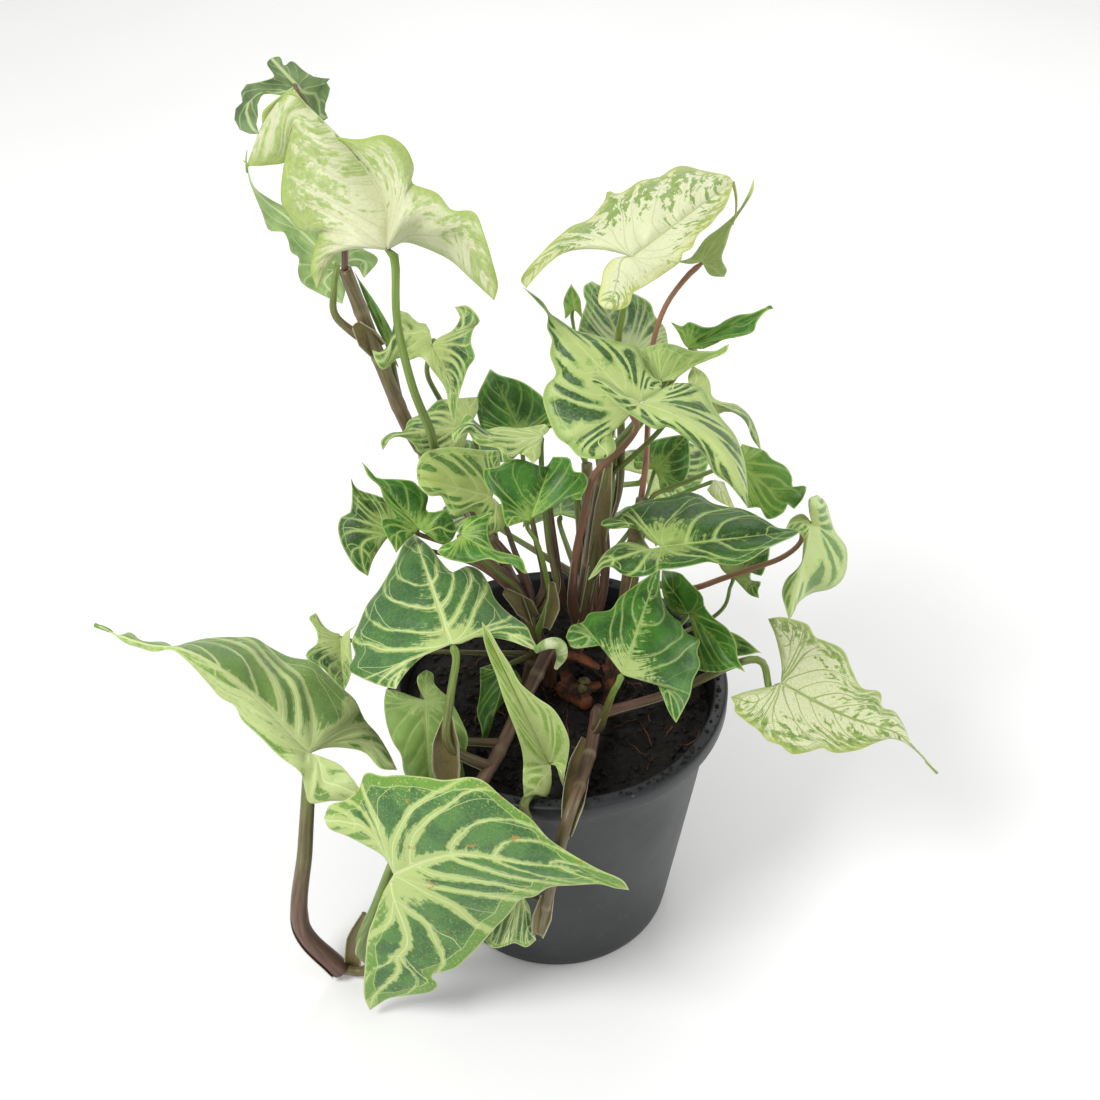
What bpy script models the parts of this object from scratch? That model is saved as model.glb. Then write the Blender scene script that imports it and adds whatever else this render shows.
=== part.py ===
"""An arrowhead plant (Syngonium podophyllum) standing in a plain round nursery pot.

Every leaf blade, leafy shoot, the soil and the pot is one closed solid of its own. Lengths are in
millimetres and are turned into metres where a mesh is made. +Z is up, the origin is the middle of the
pot's underside, and the photo was taken looking along +Y and down. Leaves and shoots are placed by
landmarks: the photo's pixel x and y, and the depth in millimetres behind the pot's axis.
"""

import math
import random
from collections import namedtuple

import bmesh
import bpy
import numpy as np

MM = 0.001

# The photo's camera, which turns a landmark into a place
CAMERA_PLACE = np.array([-2.9, -499.7, 611.0])
CAMERA_TILT = math.radians(39.8)
PHOTO_CENTRE = 550
PHOTO_LENS = 1693

# Pot: a 14 cm nursery pot with a flat flange round its mouth
POT_HEIGHT = 125
RIM_RADIUS = 70
RIM_DROP = 8
MOUTH_RADIUS = 64
SHOULDER_RADIUS = 66
BASE_RADIUS = 49.5
WALL = 1.6
FLOOR = 2.4
FOOT_HEIGHT = 1.2
FOOT_RADIUS = 38
DRAIN_RADIUS = 4
DRAIN_RING = 27
DRAIN_COUNT = 6
POT_SIDES = 44
CUTTER_SIDES = 12

# Soil
SOIL_TOP = 114
SOIL_DOME = 3
SOIL_DEPTH = 40
SOIL_ROUGHNESS = 0.8
SOIL_RINGS = 7
SOIL_SIDES = 30
SOIL_TO_WALL = 0.4
HOLE_CLEARANCE = 0.5
HOLE_ABOVE_SOIL = 12
STEM_GAP = 0.3
ROOT_DEPTH = 24

# Blades and stalks
BLADE_THICKNESS = 0.8
BLADE_GAP = 0.3
RIB_STEPS = 5
LOBE_STEPS = 3
ACROSS_STEPS = 2
WAVES_ROUND = 2.5
MARGIN_STEPS = 60
SPLIT_BETWEEN = 15, 49
LEAST_FACING = 0.45
ARCH_PEAK = 27 / 4
BOW_PEAK = 4
CURVE_STEPS = 12
STALK_SIDES = 5
STALK_STEPS = 8
STALK_END_RADIUS = 0.5
STALK_LEAST_RADIUS = 0.5
STALK_RADIUS_SHARE = 0.013
STALK_FOOT_SHARE = 1.7
STALK_BEND_SHARE = 0.12
STALK_BEND_MOST = 6
STALK_BEND_AHEAD = 0.4
OLD_STALK_STEPS = 6
OLD_STALK_TOP_SHARE = 0.7
TUBE_START_SIDE = 0.3, 1.0, 0.2
STEM_SIDES = 8
STEM_LEAST_STEPS = 6
STEM_STRAIGHT_ABOVE_SOIL = 5
STEM_SWELL = 1.15
STEM_TOP_SHARE = 0.75
STEM_STEP_LENGTH = 14
SHEATH_SIDES = 8
SHEATH_STEPS = 5
SHEATH_FLATNESS = 0.4

# Half of an arrowhead leaf that the photo doesn't show, flat: shares of its lobe's reach to the side and of
# its midrib along, from the tip round the shoulder, and from the lobe back to the stalk
PLAIN_OUTER = ((0.10, 0.90), (0.42, 0.74), (0.84, 0.48), (1.0, 0.26), (0.96, 0.05))
PLAIN_INNER = ((0.66, -0.22), (0.30, -0.08))

# A leaf: the share of its stem where its stalk starts, points on the stalk, the landmarks of its stalk end,
# midrib, tip and two lobes, the rise along and across it, its waves in mm, its look
Blade = namedtuple("Blade", "name shoot node via attach rib tip left right arch bow wave look")
Place = namedtuple("Place", "x y z")
Shoot = namedtuple("Shoot", "name foot stem radius")
# A broad sheath at the foot of a stalk: points along it, its half widths in mm
Sheath = namedtuple("Sheath", "name shoot line half_widths")
OldStalk = namedtuple("OldStalk", "name shoot line radius")

LOOKS = {
    "green": (0.075, 0.165, 0.042),
    "veined": (0.110, 0.210, 0.065),
    "mottled": (0.240, 0.360, 0.120),
    "cream": (0.600, 0.640, 0.360),
    "pale": (0.330, 0.460, 0.150),
}

SHOOTS = (
    Shoot("shoot_vine", (-4, 16), ((500, 560, 20), (440, 470, 25), (405, 420, 26), (345, 270, 28)), 3.4),
    Shoot("shoot_left", (-12, 6), ((536, 645, 6), (530, 614, 6)), 3.2),
    Shoot("shoot_centre", (7, 20), ((583, 600, 18), (596, 520, 18), (606, 455, 16)), 3.4),
    Shoot("shoot_right", (22, 8), ((625, 600, 10), (642, 500, 8)), 3.2),
    Shoot("shoot_front", (17, -13), ((597, 715, -23), (590, 752, -40), (580, 785, -60), (572, 806, -72),
                                     (563, 835, -79), (552, 880, -81), (542, 930, -79)), 2.8),
    Shoot("shoot_trailing", (-3, 6), ((549, 652, 0), (537, 674, -8), (518, 712, -24), (500, 750, -44),
                                      (478, 789, -65), (454, 835, -66), (420, 900, -62), (372, 966, -56),
                                      (340, 969, -55)), 2.9),
    Shoot("shoot_back", (13, 36), (Place(13, 40, 165), Place(12, 48, 200)), 3.0),
    Shoot("stem_stub", (11, 3), (Place(11.3, 0, 122), Place(11.6, -5, 125)), 3.9),
)

BLADES = (
    # The tall vine at the top left
    Blade("leaf_vine_large", "shoot_vine", 0.35,
          ((442, 462, 13), (430, 430, 6), (412, 385, 4), (397, 320, 4)), (387, 250, 10),
          ((386, 205, 22), (360, 160, 34), (315, 113, 46), (288, 94, 50), (266, 118, 54)),
          (247, 166, 52), (317, 289, 4), (494, 300, -10), 0.0, 0.16, 1.2, "cream"),
    Blade("leaf_vine_top", "shoot_vine", 1.0, ((344, 235, 34), (334, 185, 46), (315, 120, 54)),
          (297, 86, 60), (), (271, 58, 66), (328, 118, 64), (259, 134, 64), 0.0, 0.12, 0.8, "mottled"),
    Blade("leaf_vine_behind", "shoot_vine", 0.86, ((337, 318, 30), (334, 290, 34)),
          (337, 266, 42), ((312, 242, 48), (290, 220, 52), (269, 203, 57), (253, 186, 60)),
          (247, 168, 62), (364, 278, 46), (342, 304, 42), 0.06, 0.12, 1.0, "pale"),
    Blade("leaf_vine_spear", "shoot_vine", 0.72, (),
          (393, 350, 31), (), (354, 271, 33), (386, 346, 31), (399, 346, 33), 0.04, 0.1, 0.3, "green"),
    # The left side, from the top down
    Blade("leaf_left_upper", "shoot_vine", 0.44, ((465, 450, 42), (441, 402, 45), (427, 372, 38)),
          (432, 345, 24), ((442, 364, 19), (451, 385, 14), (454, 407, 9)),
          (455, 428, 4), (455, 307, 26), (372, 350, 18), 0.10, 0.12, 1.3, "mottled"),
    Blade("leaf_left_plain", "shoot_left", 1.0, ((545, 585, 10), (536, 540, 16), (527, 490, 28)),
          (521, 434, 34), (), (490, 369, 58), (482, 432, 30), (556, 424, 36), 0.06, 0.08, 1.0, "green"),
    Blade("leaf_left_folded", "shoot_left", 0.95, ((556, 590, 8), (549, 545, 10), (543, 490, 12)),
          (543, 436, 10), ((520, 439, 5), (500, 438, 1), (484, 436, -2), (472, 426, -5), (463, 430, -6)),
          (455, 444, -8), (533, 464, -4), (545, 424, 16), 0.08, 0.06, 1.0, "veined"),
    Blade("leaf_left_hooked", "shoot_vine", 0.38, ((480, 465, 33),),
          (470, 425, 28), ((447, 429, 25), (425, 432, 21), (405, 434, 18), (392, 437, 16)),
          (383, 450, 15), (462, 455, 20), (477, 397, 38), 0.10, 0.10, 0.8, "mottled"),
    Blade("leaf_left_pale", "shoot_left", 0.95, ((530, 590, 8), (515, 552, 8), (505, 525, 9)),
          (492, 497, 8), (), (417, 477, -2), (487, 535, 0), (499, 450, 20), 0.10, 0.14, 1.3, "pale"),
    Blade("leaf_left_dark", "shoot_left", 0.8, ((549, 600, 0), (546, 575, -4), (538, 545, -8)),
          (531, 520, -12), (), (553, 457, 6), (507, 527, -18), (580, 500, -10), 0.08, 0.10, 1.2, "green"),
    Blade("leaf_left_outer", "shoot_left", 0.9,
          ((516, 596, 8), (482, 568, 11), (450, 556, 15), (410, 545, 16)),
          (392, 532, 16), ((377, 514, 20), (364, 500, 24), (355, 489, 27)),
          (351, 478, 28), (368, 576, 4), (396, 503, 24), 0.06, 0.10, 1.0, "veined"),
    Blade("leaf_left_small", "shoot_left", 0.9, ((520, 588, 6), (490, 562, 8), (460, 548, 9)),
          (419, 529, 6), (), (362, 462, 18), (396, 553, -4), (457, 530, 8), 0.10, 0.12, 0.8, "green"),
    Blade("leaf_left_pointing", "shoot_left", 0.85, ((520, 592, 2), (497, 572, -3)),
          (462, 535, -10), (), (527, 574, -28), (493, 512, -4), (437, 552, -16), 0.08, 0.10, 1.0, "green"),
    Blade("leaf_left_big", "shoot_trailing", 0.42, ((449, 745, -62), (450, 700, -56)),
          (452, 644, -50), (), (414, 534, 16), (396, 689, -62), (540, 652, -50), 0.08, 0.10, 1.6, "veined"),
    Blade("leaf_left_low_small", "shoot_left", 0.65, ((400, 650, 0),),
          (341, 640, -12), (), (344, 691, -28), (357, 625, -10), (316, 613, -8), 0.08, 0.12, 0.8, "mottled"),
    # The trailing shoot at the lower left
    Blade("leaf_trailing_left", "shoot_trailing", 1.0,
          ((301, 925, -54), (305, 850, -48), (308, 795, -40), (309, 770, -41)),
          (309, 753, -46), ((285, 728, -44), (258, 700, -41), (230, 676, -38), (203, 658, -35),
                            (178, 648, -33), (150, 645, -31), (120, 636, -27)),
          (95, 625, -24), (363, 794, -60), (397, 770, -36), 0.06, 0.06, 1.4, "pale"),
    Blade("leaf_trailing_front", "shoot_trailing", 0.93, ((362, 945, -62), (377, 905, -70)),
          (394, 874, -80), ((425, 861, -83), (456, 854, -86), (490, 857, -89), (523, 863, -92),
                            (561, 867, -94), (595, 877, -96)),
          (629, 890, -98), (324, 818, -64), (370, 1010, -76), 0.06, 0.08, 1.8,
          "veined"),
    Blade("leaf_front_low", "shoot_front", 0.9, (),
          (520, 893, -74), (), (505, 946, -82), (536, 940, -78), (484, 938, -78), 0.06, 0.10, 1.2, "veined"),
    # Low leaves in front of the pot's mouth
    Blade("leaf_front_narrow", "shoot_front", 0.74,
          ((541, 842, -77), (526, 815, -72.5), (525, 802, -69), (536, 786, -61)),
          (550, 764, -58), (), (482, 622, -58), (524, 797, -70), (563, 787, -64), 0.04, 0.06, 1.0, "pale"),
    Blade("leaf_front_dull", "shoot_trailing", 0.36, ((436, 735, -47),),
          (425, 700, -52), (), (430, 790, -57), (426, 670, -46), (386, 689, -50), 0.06, 0.08, 1.2, "pale"),
    Blade("leaf_front_dark", "shoot_left", 0.65, (),
          (508, 668, -6), (), (483, 747, -36), (522, 682, -2), (480, 668, -12), 0.08, 0.10, 1.0, "green"),
    Blade("leaf_front_right", "shoot_front", 0.3, ((600, 725, -34), (612, 695, -42)),
          (622, 674, -45), (), (661, 560, 4), (566, 637, -26), (676, 723, -54), 0.08, 0.10, 1.3, "veined"),
    # The right side
    Blade("leaf_right_shaded", "shoot_right", 0.35, ((672, 630, -2),),
          (690, 612, 2), (), (745, 672, -22), (662, 570, 16), (698, 670, -16), 0.08, 0.10, 0.7, "green"),
    Blade("leaf_right_hooked", "shoot_right", 0.25, (),
          (720, 637, 18), (), (762, 653, 14), (713, 625, 22), (708, 648, 14), 0.16, 0.1, 0.5, "green"),
    Blade("leaf_right_small", "shoot_right", 0.3, ((712, 618, 12),),
          (733, 577, 18), (), (770, 545, 28), (718, 563, 24), (759, 598, 8), 0.08, 0.12, 0.8, "green"),
    Blade("leaf_right_large", "shoot_right", 0.85, (),
          (662, 547, -34), (), (801, 531, -30), (601, 525, -12), (588, 580, -52), 0.08, 0.10, 1.6, "veined"),
    Blade("leaf_right_outer", "shoot_right", 0.7,
          ((680, 592, 22), (700, 586, 20), (770, 562, 12), (798, 548, 19)),
          (812, 524, 4), (), (789, 620, -24), (817, 495, 14), (786, 528, 0), 0.10, 0.10, 0.7, "mottled"),
    Blade("leaf_right_cream", "shoot_front", 0.26, ((668, 694, -14), (735, 664, -16), (762, 662, -17)),
          (781, 683, -20), ((820, 704, -27), (850, 718, -32), (878, 727, -37), (898, 734, -40),
                            (914, 748, -43)),
          (937, 773, -46), (768, 619, 12), (731, 697, -34), 0.06, 0.08, 1.8, "cream"),
    Blade("leaf_right_upper", "shoot_right", 1.0, ((690, 480, 10),),
          (738, 464, 12), (), (794, 509, 0), (742, 444, 20), (748, 508, 4), 0.08, 0.12, 1.1, "green"),
    Blade("leaf_right_curled", "shoot_centre", 0.9, ((660, 430, 14),),
          (690, 390, 8), ((706, 399, 5), (722, 407, 3), (736, 410, 0), (746, 417, -2), (752, 430, -4)),
          (761, 450, -6), (693, 366, 16), (714, 418, 0), 0.16, 0.12, 0.6, "mottled"),
    Blade("leaf_right_inner_pale", "shoot_right", 0.95, (),
          (714, 480, 4), (), (735, 509, -6), (724, 482, 8), (707, 490, 2), 0.06, 0.08, 0.6, "cream"),
    Blade("leaf_right_inner_dark", "shoot_right", 0.9, (),
          (655, 470, 28), (), (690, 432, 40), (634, 458, 34), (674, 492, 22), 0.08, 0.10, 0.8, "green"),
    # The middle and the top
    Blade("leaf_middle_variegated", "shoot_centre", 1.0, (),
          (636, 405, -12), (), (523, 287, 34), (606, 458, -30), (661, 388, 0), 0.08, 0.08, 1.5, "mottled"),
    Blade("leaf_middle_drooping", "shoot_centre", 0.35,
          ((572, 600, 9), (575, 560, 5), (583, 520, 3), (592, 480, 0), (606, 462, -2), (624, 446, -7),
           (637, 426, -17)),
          (641, 404, -22), ((665, 411, -28), (690, 424, -35), (712, 440, -42), (729, 461, -48),
                            (741, 485, -53)),
          (748, 508, -56), (675, 383, -10), (588, 379, -18), 0.12, 0.12, 1.5, "mottled"),
    Blade("leaf_middle_cup", "shoot_centre", 0.95, (),
          (661, 382, 14), (), (729, 344, 6), (639, 350, 22), (674, 380, 10), -0.04, 0.06, 0.6, "pale"),
    Blade("leaf_top_right_green", "shoot_centre", 0.93, (),
          (688, 348, 28), (), (772, 307, 24), (671, 322, 36), (703, 349, 22), 0.06, 0.10, 1.1, "green"),
    Blade("leaf_top_behind", "shoot_centre", 0.92, (),
          (626, 356, 34), (), (592, 281, 58), (574, 346, 32), (668, 343, 38), 0.06, 0.10, 1.3, "veined"),
    Blade("leaf_top_cream", "shoot_centre", 0.6,
          ((616, 500, 20), (621, 450, 20), (620, 400, 22), (618, 345, 20), (624, 305, 12)),
          (632, 257, 6), (), (733, 182, 42), (526, 288, -2), (605, 309, -18), 0.10, 0.12, 1.7, "cream"),
    Blade("leaf_top_narrow", "shoot_right", 1.0,
          ((646, 460, 18), (648, 420, 29), (650, 370, 31), (660, 318, 31), (686, 277, 36)),
          (702, 262, 34), ((709, 252, 36), (717, 240, 39), (728, 226, 42), (740, 210, 46), (750, 193, 50)),
          (754, 178, 54), (677, 262, 36), (724, 277, 26), 0.04, 0.08, 0.6, "pale"),
    Blade("leaf_top_small", "shoot_centre", 0.9, (),
          (574, 310, 50), (), (571, 283, 58), (565, 319, 47), (583, 321, 47), 0.04, 0.08, 0.3, "green"),
    # The back, which the photo doesn't show
    Blade("leaf_back_middle", "shoot_back", 1.0, (),
          Place(5, 66, 208), (), Place(9, 112, 188), Place(-16, 58, 206), Place(24, 56, 207),
          0.10, 0.12, 1.4, "veined"),
    Blade("leaf_back_left", "shoot_back", 0.9, (),
          Place(-34, 60, 190), (), Place(-58, 98, 170), Place(-45, 46, 188), Place(-17, 65, 192),
          0.12, 0.12, 1.4, "green"),
    Blade("leaf_back_right", "shoot_back", 0.9, (),
          Place(36, 62, 184), (), Place(66, 98, 166), Place(19, 70, 186), Place(45, 46, 182),
          0.12, 0.12, 1.4, "mottled"),
    Blade("leaf_back_low_left", "shoot_back", 0.5, (),
          Place(-30, 82, 148), (), Place(-48, 114, 120), Place(-41, 68, 148), Place(-14, 83, 150),
          0.14, 0.12, 1.2, "veined"),
    Blade("leaf_back_low_right", "shoot_back", 0.5, (),
          Place(34, 82, 142), (), Place(50, 114, 116), Place(18, 85, 144), Place(43, 67, 142),
          0.14, 0.12, 1.2, "green"),
    Blade("leaf_back_low_middle", "shoot_back", 0.4, (),
          Place(2, 88, 142), (), Place(2, 126, 118), Place(-15, 80, 142), Place(19, 80, 142),
          0.16, 0.12, 1.2, "green"),
)

SHEATHS = (
    Sheath("boat", "shoot_trailing", ((450, 792, -67), (446, 765, -66), (446, 740, -63), (448, 716, -59)),
           (3.5, 5.4, 5.0, 1.6)),
    Sheath("over_rim", "shoot_front", ((587, 737, -33), (581, 760, -45), (576, 785, -59), (572, 808, -73),
                                       (566, 836, -80)), (2.0, 4.4, 4.6, 4.2, 2.2)),
    Sheath("elbow", "shoot_trailing", ((352, 971, -55), (355, 940, -57), (364, 914, -60)), (3.6, 3.6, 1.0)),
    Sheath("hanging", "shoot_front", ((547, 898, -82), (542, 918, -82), (537, 938, -81)), (2.6, 3.8, 2.4)),
    Sheath("crown_left", "shoot_left", ((538, 624, 5), (525, 608, 0), (506, 592, -3)), (2.0, 4.2, 1.6)),
    Sheath("crown_front", "shoot_left", ((546, 630, 2), (553, 606, -2), (552, 584, -4)), (1.6, 2.8, 1.2)),
    Sheath("crown_centre", "shoot_centre", ((592, 580, 14), (599, 535, 10), (605, 495, 9), (609, 463, 10)),
           (2.0, 3.2, 3.2, 1.2)),
    Sheath("vine", "shoot_vine", ((380, 352, 25), (367, 338, 22), (357, 326, 20)), (3.8, 4.2, 2.0)),
)

# Old stalks packed in the crown, whose ends the photo hides
OLD_STALKS = (
    OldStalk("low_left", "shoot_left", ((532, 625, 6), (512, 592, 9), (488, 567, 11), (474, 557, 12)), 1.9),
    OldStalk("left", "shoot_left", ((533, 620, 6), (525, 578, 8), (502, 548, 7), (492, 537, 6)), 1.9),
    OldStalk("middle", "shoot_centre", ((580, 625, 18), (563, 596, 14), (554, 545, 14), (547, 490, 17)), 2.0),
    OldStalk("right", "shoot_centre", ((582, 640, 19), (600, 605, 14), (606, 560, 12), (604, 515, 13)), 2.2),
)

# Photo pixels along each leaf's margin: left side from the tip to the lobe, from the left lobe to the
# stalk, and the same for the right side. A third number is a depth, where the leaf folds over.
MARGINS = {
    "leaf_vine_large": (
        ((268, 165, 50), (287, 160, 47), (291, 133, 44), (284, 165, 38), (281, 198, 30), (287, 213, 27),
         (300, 230, 23), (318, 232, 20), (314, 250, 14), (311, 270, 8)),
        ((325, 272), (335, 258), (343, 250), (356, 248), (372, 248)),
        ((256, 154, 53), (264, 142, 54), (262, 118, 54), (266, 108, 52), (292, 90, 50), (303, 103, 47),
         (325, 133, 42), (345, 138, 38), (362, 139, 35), (385, 135, 32), (405, 147, 29), (414, 168, 24),
         (412, 183, 20), (437, 193, 14), (452, 210, 9), (474, 212, 6), (485, 237, -2), (492, 260, -6),
         (498, 285, -9)),
        ((470, 278), (450, 260), (425, 248), (405, 242), (394, 246))),
    "leaf_vine_top": (
        ((280, 57, 65), (284, 66, 64), (292, 61, 64), (303, 70, 64), (315, 77, 64), (332, 79, 64),
         (326, 82, 64), (330, 88, 64), (327, 100, 64), (324, 108, 64)),
        ((316, 124, 64), (310, 112, 63), (302, 97, 61)),
        ((267, 64), (274, 75), (270, 79), (255, 83), (245, 85), (241, 92), (244, 100), (236, 108), (234, 118),
         (240, 130), (251, 134)),
        ((256, 126), (258, 117), (257, 106), (262, 95), (270, 91), (282, 96), (291, 92))),
    "leaf_vine_behind": (
        ((253, 186), (270, 199), (287, 208), (312, 224), (340, 240), (365, 250), (378, 260)),
        ((357, 267), (347, 267)),
        ((250, 182), (256, 198), (262, 212), (269, 230), (282, 231), (288, 240), (291, 252), (299, 258),
         (298, 272), (303, 284), (320, 294)),
        ((345, 290), (340, 278))),
    "leaf_left_upper": (
        ((458, 400), (464, 380), (468, 368), (475, 357), (471, 342), (474, 328), (480, 320), (468, 306)),
        ((460, 318), (452, 331), (440, 337)),
        ((449, 408), (445, 388), (432, 370), (421, 357), (410, 360), (398, 358), (384, 370), (376, 362)),
        ((382, 352), (393, 338), (396, 313), (408, 313), (416, 322), (425, 323), (430, 333))),
    "leaf_left_plain": (
        ((484, 381), (478, 394), (476, 408)), ((495, 436), (510, 437)),
        ((500, 375), (518, 380), (532, 388), (547, 402)), ((544, 432), (532, 436))),
    "leaf_left_folded": (
        ((458, 437), (468, 432), (477, 444), (499, 449), (503, 462), (510, 462), (514, 455), (524, 455)),
        ((540, 456), (541, 446)),
        ((452, 434), (460, 424), (466, 414), (473, 419), (481, 430), (500, 427), (522, 428)),
        ((549, 430),)),
    "leaf_left_hooked": (
        ((386, 442), (395, 437), (405, 438), (414, 445), (420, 453), (440, 459)), ((466, 440),),
        ((381, 441), (391, 433), (404, 431), (409, 420), (425, 412), (437, 401), (450, 399), (463, 398)),
        ((478, 410),)),
    "leaf_left_pale": (
        ((420, 488), (430, 496), (441, 496), (446, 506), (455, 516), (474, 512)),
        ((503, 529), (505, 515), (499, 504)),
        ((417, 466), (422, 455), (432, 450), (448, 447), (465, 448), (482, 450)),
        ((500, 465), (497, 482))),
    "leaf_left_dark": (
        ((545, 468), (532, 463), (518, 459), (506, 461), (497, 467), (483, 470), (488, 488), (500, 500),
         (503, 515)),
        ((519, 523),),
        ((562, 457), (570, 459), (574, 471), (584, 473), (588, 483)), ((565, 499), (550, 500), (538, 508))),
    "leaf_left_outer": (
        ((352, 492), (350, 512), (341, 517), (338, 529), (342, 545), (350, 560), (358, 570)),
        ((373, 560), (382, 545)),
        ((355, 486), (362, 491), (373, 494), (384, 498)), ((396, 518),)),
    "leaf_left_small": (
        ((368, 476), (379, 486), (384, 500), (392, 510), (394, 518), (381, 520), (385, 533), (392, 545)),
        ((404, 543), (413, 535)),
        ((366, 470), (378, 478), (395, 479), (412, 481), (420, 488), (428, 496), (426, 510), (434, 512),
         (447, 511)),
        ((451, 541), (440, 543), (429, 536))),
    "leaf_left_pointing": (
        ((521, 558), (505, 553), (494, 549), (488, 535), (489, 520)), ((480, 515), (465, 519)),
        ((522, 572), (514, 565), (500, 563), (488, 559), (470, 563), (455, 561), (445, 558)),
        ((443, 545), (453, 541))),
    "leaf_left_big": (
        ((403, 545), (396, 560), (380, 588), (367, 605), (358, 626), (352, 641), (355, 655), (349, 667),
         (352, 673), (370, 682), (386, 687)),
        ((402, 678), (415, 663), (432, 650), (443, 645)),
        ((430, 547), (440, 560), (450, 571), (458, 572), (467, 566), (480, 571), (489, 585), (495, 599),
         (507, 612), (518, 620), (527, 627), (533, 640)),
        ((526, 647), (510, 641), (490, 637), (472, 638), (461, 643))),
    "leaf_left_low_small": (
        ((350, 678), (352, 662), (351, 645), (350, 632)), ((346, 632),),
        ((335, 682), (322, 668), (307, 659), (307, 652), (317, 643), (316, 630), (309, 618)),
        ((323, 625), (332, 632), (339, 634))),
    "leaf_trailing_left": (
        ((110, 632, -26), (125, 643, -28), (140, 648, -30), (155, 652, -32), (172, 650, -33),
         (188, 662, -35), (205, 680, -38), (220, 697, -41), (235, 706, -43), (242, 720, -45),
         (260, 737, -48), (280, 757, -51), (300, 772, -54), (305, 790, -56), (310, 803, -58),
         (330, 801, -59), (350, 800, -60)),
        ((352, 778, -56), (340, 765, -51), (325, 758, -48)),
        ((105, 626), (118, 636), (130, 632), (140, 640), (150, 642), (165, 642), (174, 647), (190, 642),
         (210, 638), (235, 637), (255, 638), (270, 647), (290, 657), (312, 661), (325, 672), (342, 688),
         (355, 700), (365, 720), (378, 735), (390, 755)),
        ((380, 768), (365, 753), (345, 748), (325, 748))),
    "leaf_trailing_front": (
        ((622, 880, -98), (600, 870, -97), (585, 862, -96), (565, 850, -94), (548, 838, -92), (530, 818, -89),
         (515, 807, -87), (500, 795, -85), (485, 782, -83), (470, 777, -81), (445, 780, -79), (425, 777, -77),
         (400, 775, -74), (382, 776, -71), (366, 773, -68), (358, 790, -66), (345, 800, -65),
         (330, 805, -64)),
        ((330, 829), (345, 835), (365, 845), (382, 855), (390, 865)),
        ((615, 888), (600, 884), (575, 885), (550, 887), (535, 896), (520, 900), (508, 915), (495, 928),
         (480, 945), (470, 955), (455, 968), (432, 975), (438, 985), (430, 992), (410, 995), (390, 998),
         (376, 1006)),
        ((364, 995), (365, 965), (368, 935), (375, 915), (383, 893))),
    "leaf_front_low": (
        ((515, 943), (526, 947)), ((532, 925), (529, 906)),
        ((497, 948), (490, 946)), ((491, 920), (504, 903))),
    "leaf_front_narrow": (
        ((484, 640), (489, 657), (496, 675), (503, 697), (510, 716), (518, 737), (523, 757), (523, 778)),
        ((536, 795), (547, 797), (551, 785), (551, 774)),
        ((490, 632), (499, 648), (510, 665), (520, 683), (536, 697), (552, 708), (562, 722), (569, 740),
         (568, 757), (565, 772)),
        ((559, 775), (556, 766))),
    "leaf_front_dull": (
        ((453, 782, -57), (464, 777, -56), (463, 762, -55), (468, 740, -53), (462, 722, -51), (450, 700, -49),
         (440, 690, -48), (434, 683, -47), (433, 674, -46)),
        ((418, 676), (418, 686)),
        ((412, 782), (404, 772), (401, 755), (393, 742), (387, 725), (384, 705)), ((398, 691), (412, 696))),
    "leaf_front_dark": (
        ((490, 730), (496, 712), (508, 698)), ((517, 672),),
        ((481, 728), (477, 712), (480, 692)), ((495, 664),)),
    "leaf_front_right": (
        ((652, 573), (636, 585), (620, 597), (610, 610), (590, 613), (583, 622), (571, 626)),
        ((573, 648), (590, 647), (603, 646), (613, 656)),
        ((660, 575), (660, 590), (665, 607), (673, 617), (680, 622), (685, 632), (695, 637), (700, 641),
         (697, 652), (700, 665), (693, 680), (690, 695), (683, 710)),
        ((668, 710), (660, 690), (652, 676), (640, 672), (630, 676))),
    "leaf_right_shaded": (
        ((738, 658), (736, 643), (727, 628), (714, 618), (705, 607), (702, 595), (690, 583), (680, 573)),
        ((662, 590), (668, 607), (678, 616)),
        ((735, 668), (722, 672), (708, 672)), ((697, 652), (699, 638), (692, 625))),
    "leaf_right_small": (
        ((750, 548), (732, 555)), ((724, 572),),
        ((769, 556), (766, 566), (761, 576), (752, 571), (751, 580), (761, 582), (758, 590)),
        ((750, 595), (742, 587))),
    "leaf_right_large": (
        ((790, 529), (778, 528), (765, 520), (750, 512), (738, 508), (728, 507), (712, 503), (700, 495),
         (685, 492), (675, 496), (655, 499), (640, 502), (625, 510), (615, 517), (604, 520)),
        ((612, 529), (630, 528), (642, 532), (653, 541)),
        ((793, 537), (775, 545), (765, 550), (750, 560), (735, 565), (720, 564), (708, 562), (690, 566),
         (672, 569), (660, 570), (650, 575), (635, 577), (622, 574), (612, 567), (603, 568), (596, 575)),
        ((595, 568), (605, 553), (620, 543), (635, 543), (650, 549))),
    "leaf_right_outer": (
        ((794, 612), (799, 602), (812, 593), (830, 589), (842, 580), (847, 565), (846, 547), (836, 533),
         (831, 520), (826, 503)),
        ((809, 499), (809, 511)),
        ((786, 610), (782, 592), (788, 577), (800, 568), (803, 550), (802, 536)),
        ((792, 518), (803, 514))),
    "leaf_right_cream": (
        ((925, 758), (910, 742), (905, 728), (895, 712), (882, 707), (880, 692), (862, 688), (852, 670),
         (843, 650), (825, 641), (815, 637), (808, 625), (795, 620), (780, 617)),
        ((775, 635), (780, 655), (782, 670)),
        ((912, 747), (893, 738), (875, 743), (858, 750), (835, 753), (822, 748), (808, 752), (792, 754),
         (780, 745), (768, 741), (758, 730), (747, 722), (735, 712), (735, 705)),
        ((745, 692), (762, 688), (773, 686))),
    "leaf_right_upper": (
        ((803, 498), (806, 486), (793, 487), (792, 477), (785, 466), (772, 459), (765, 451), (752, 447)),
        ((738, 453),),
        ((789, 502), (783, 513), (768, 519), (760, 508)), ((742, 492), (738, 477))),
    "leaf_right_curled": (
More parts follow.
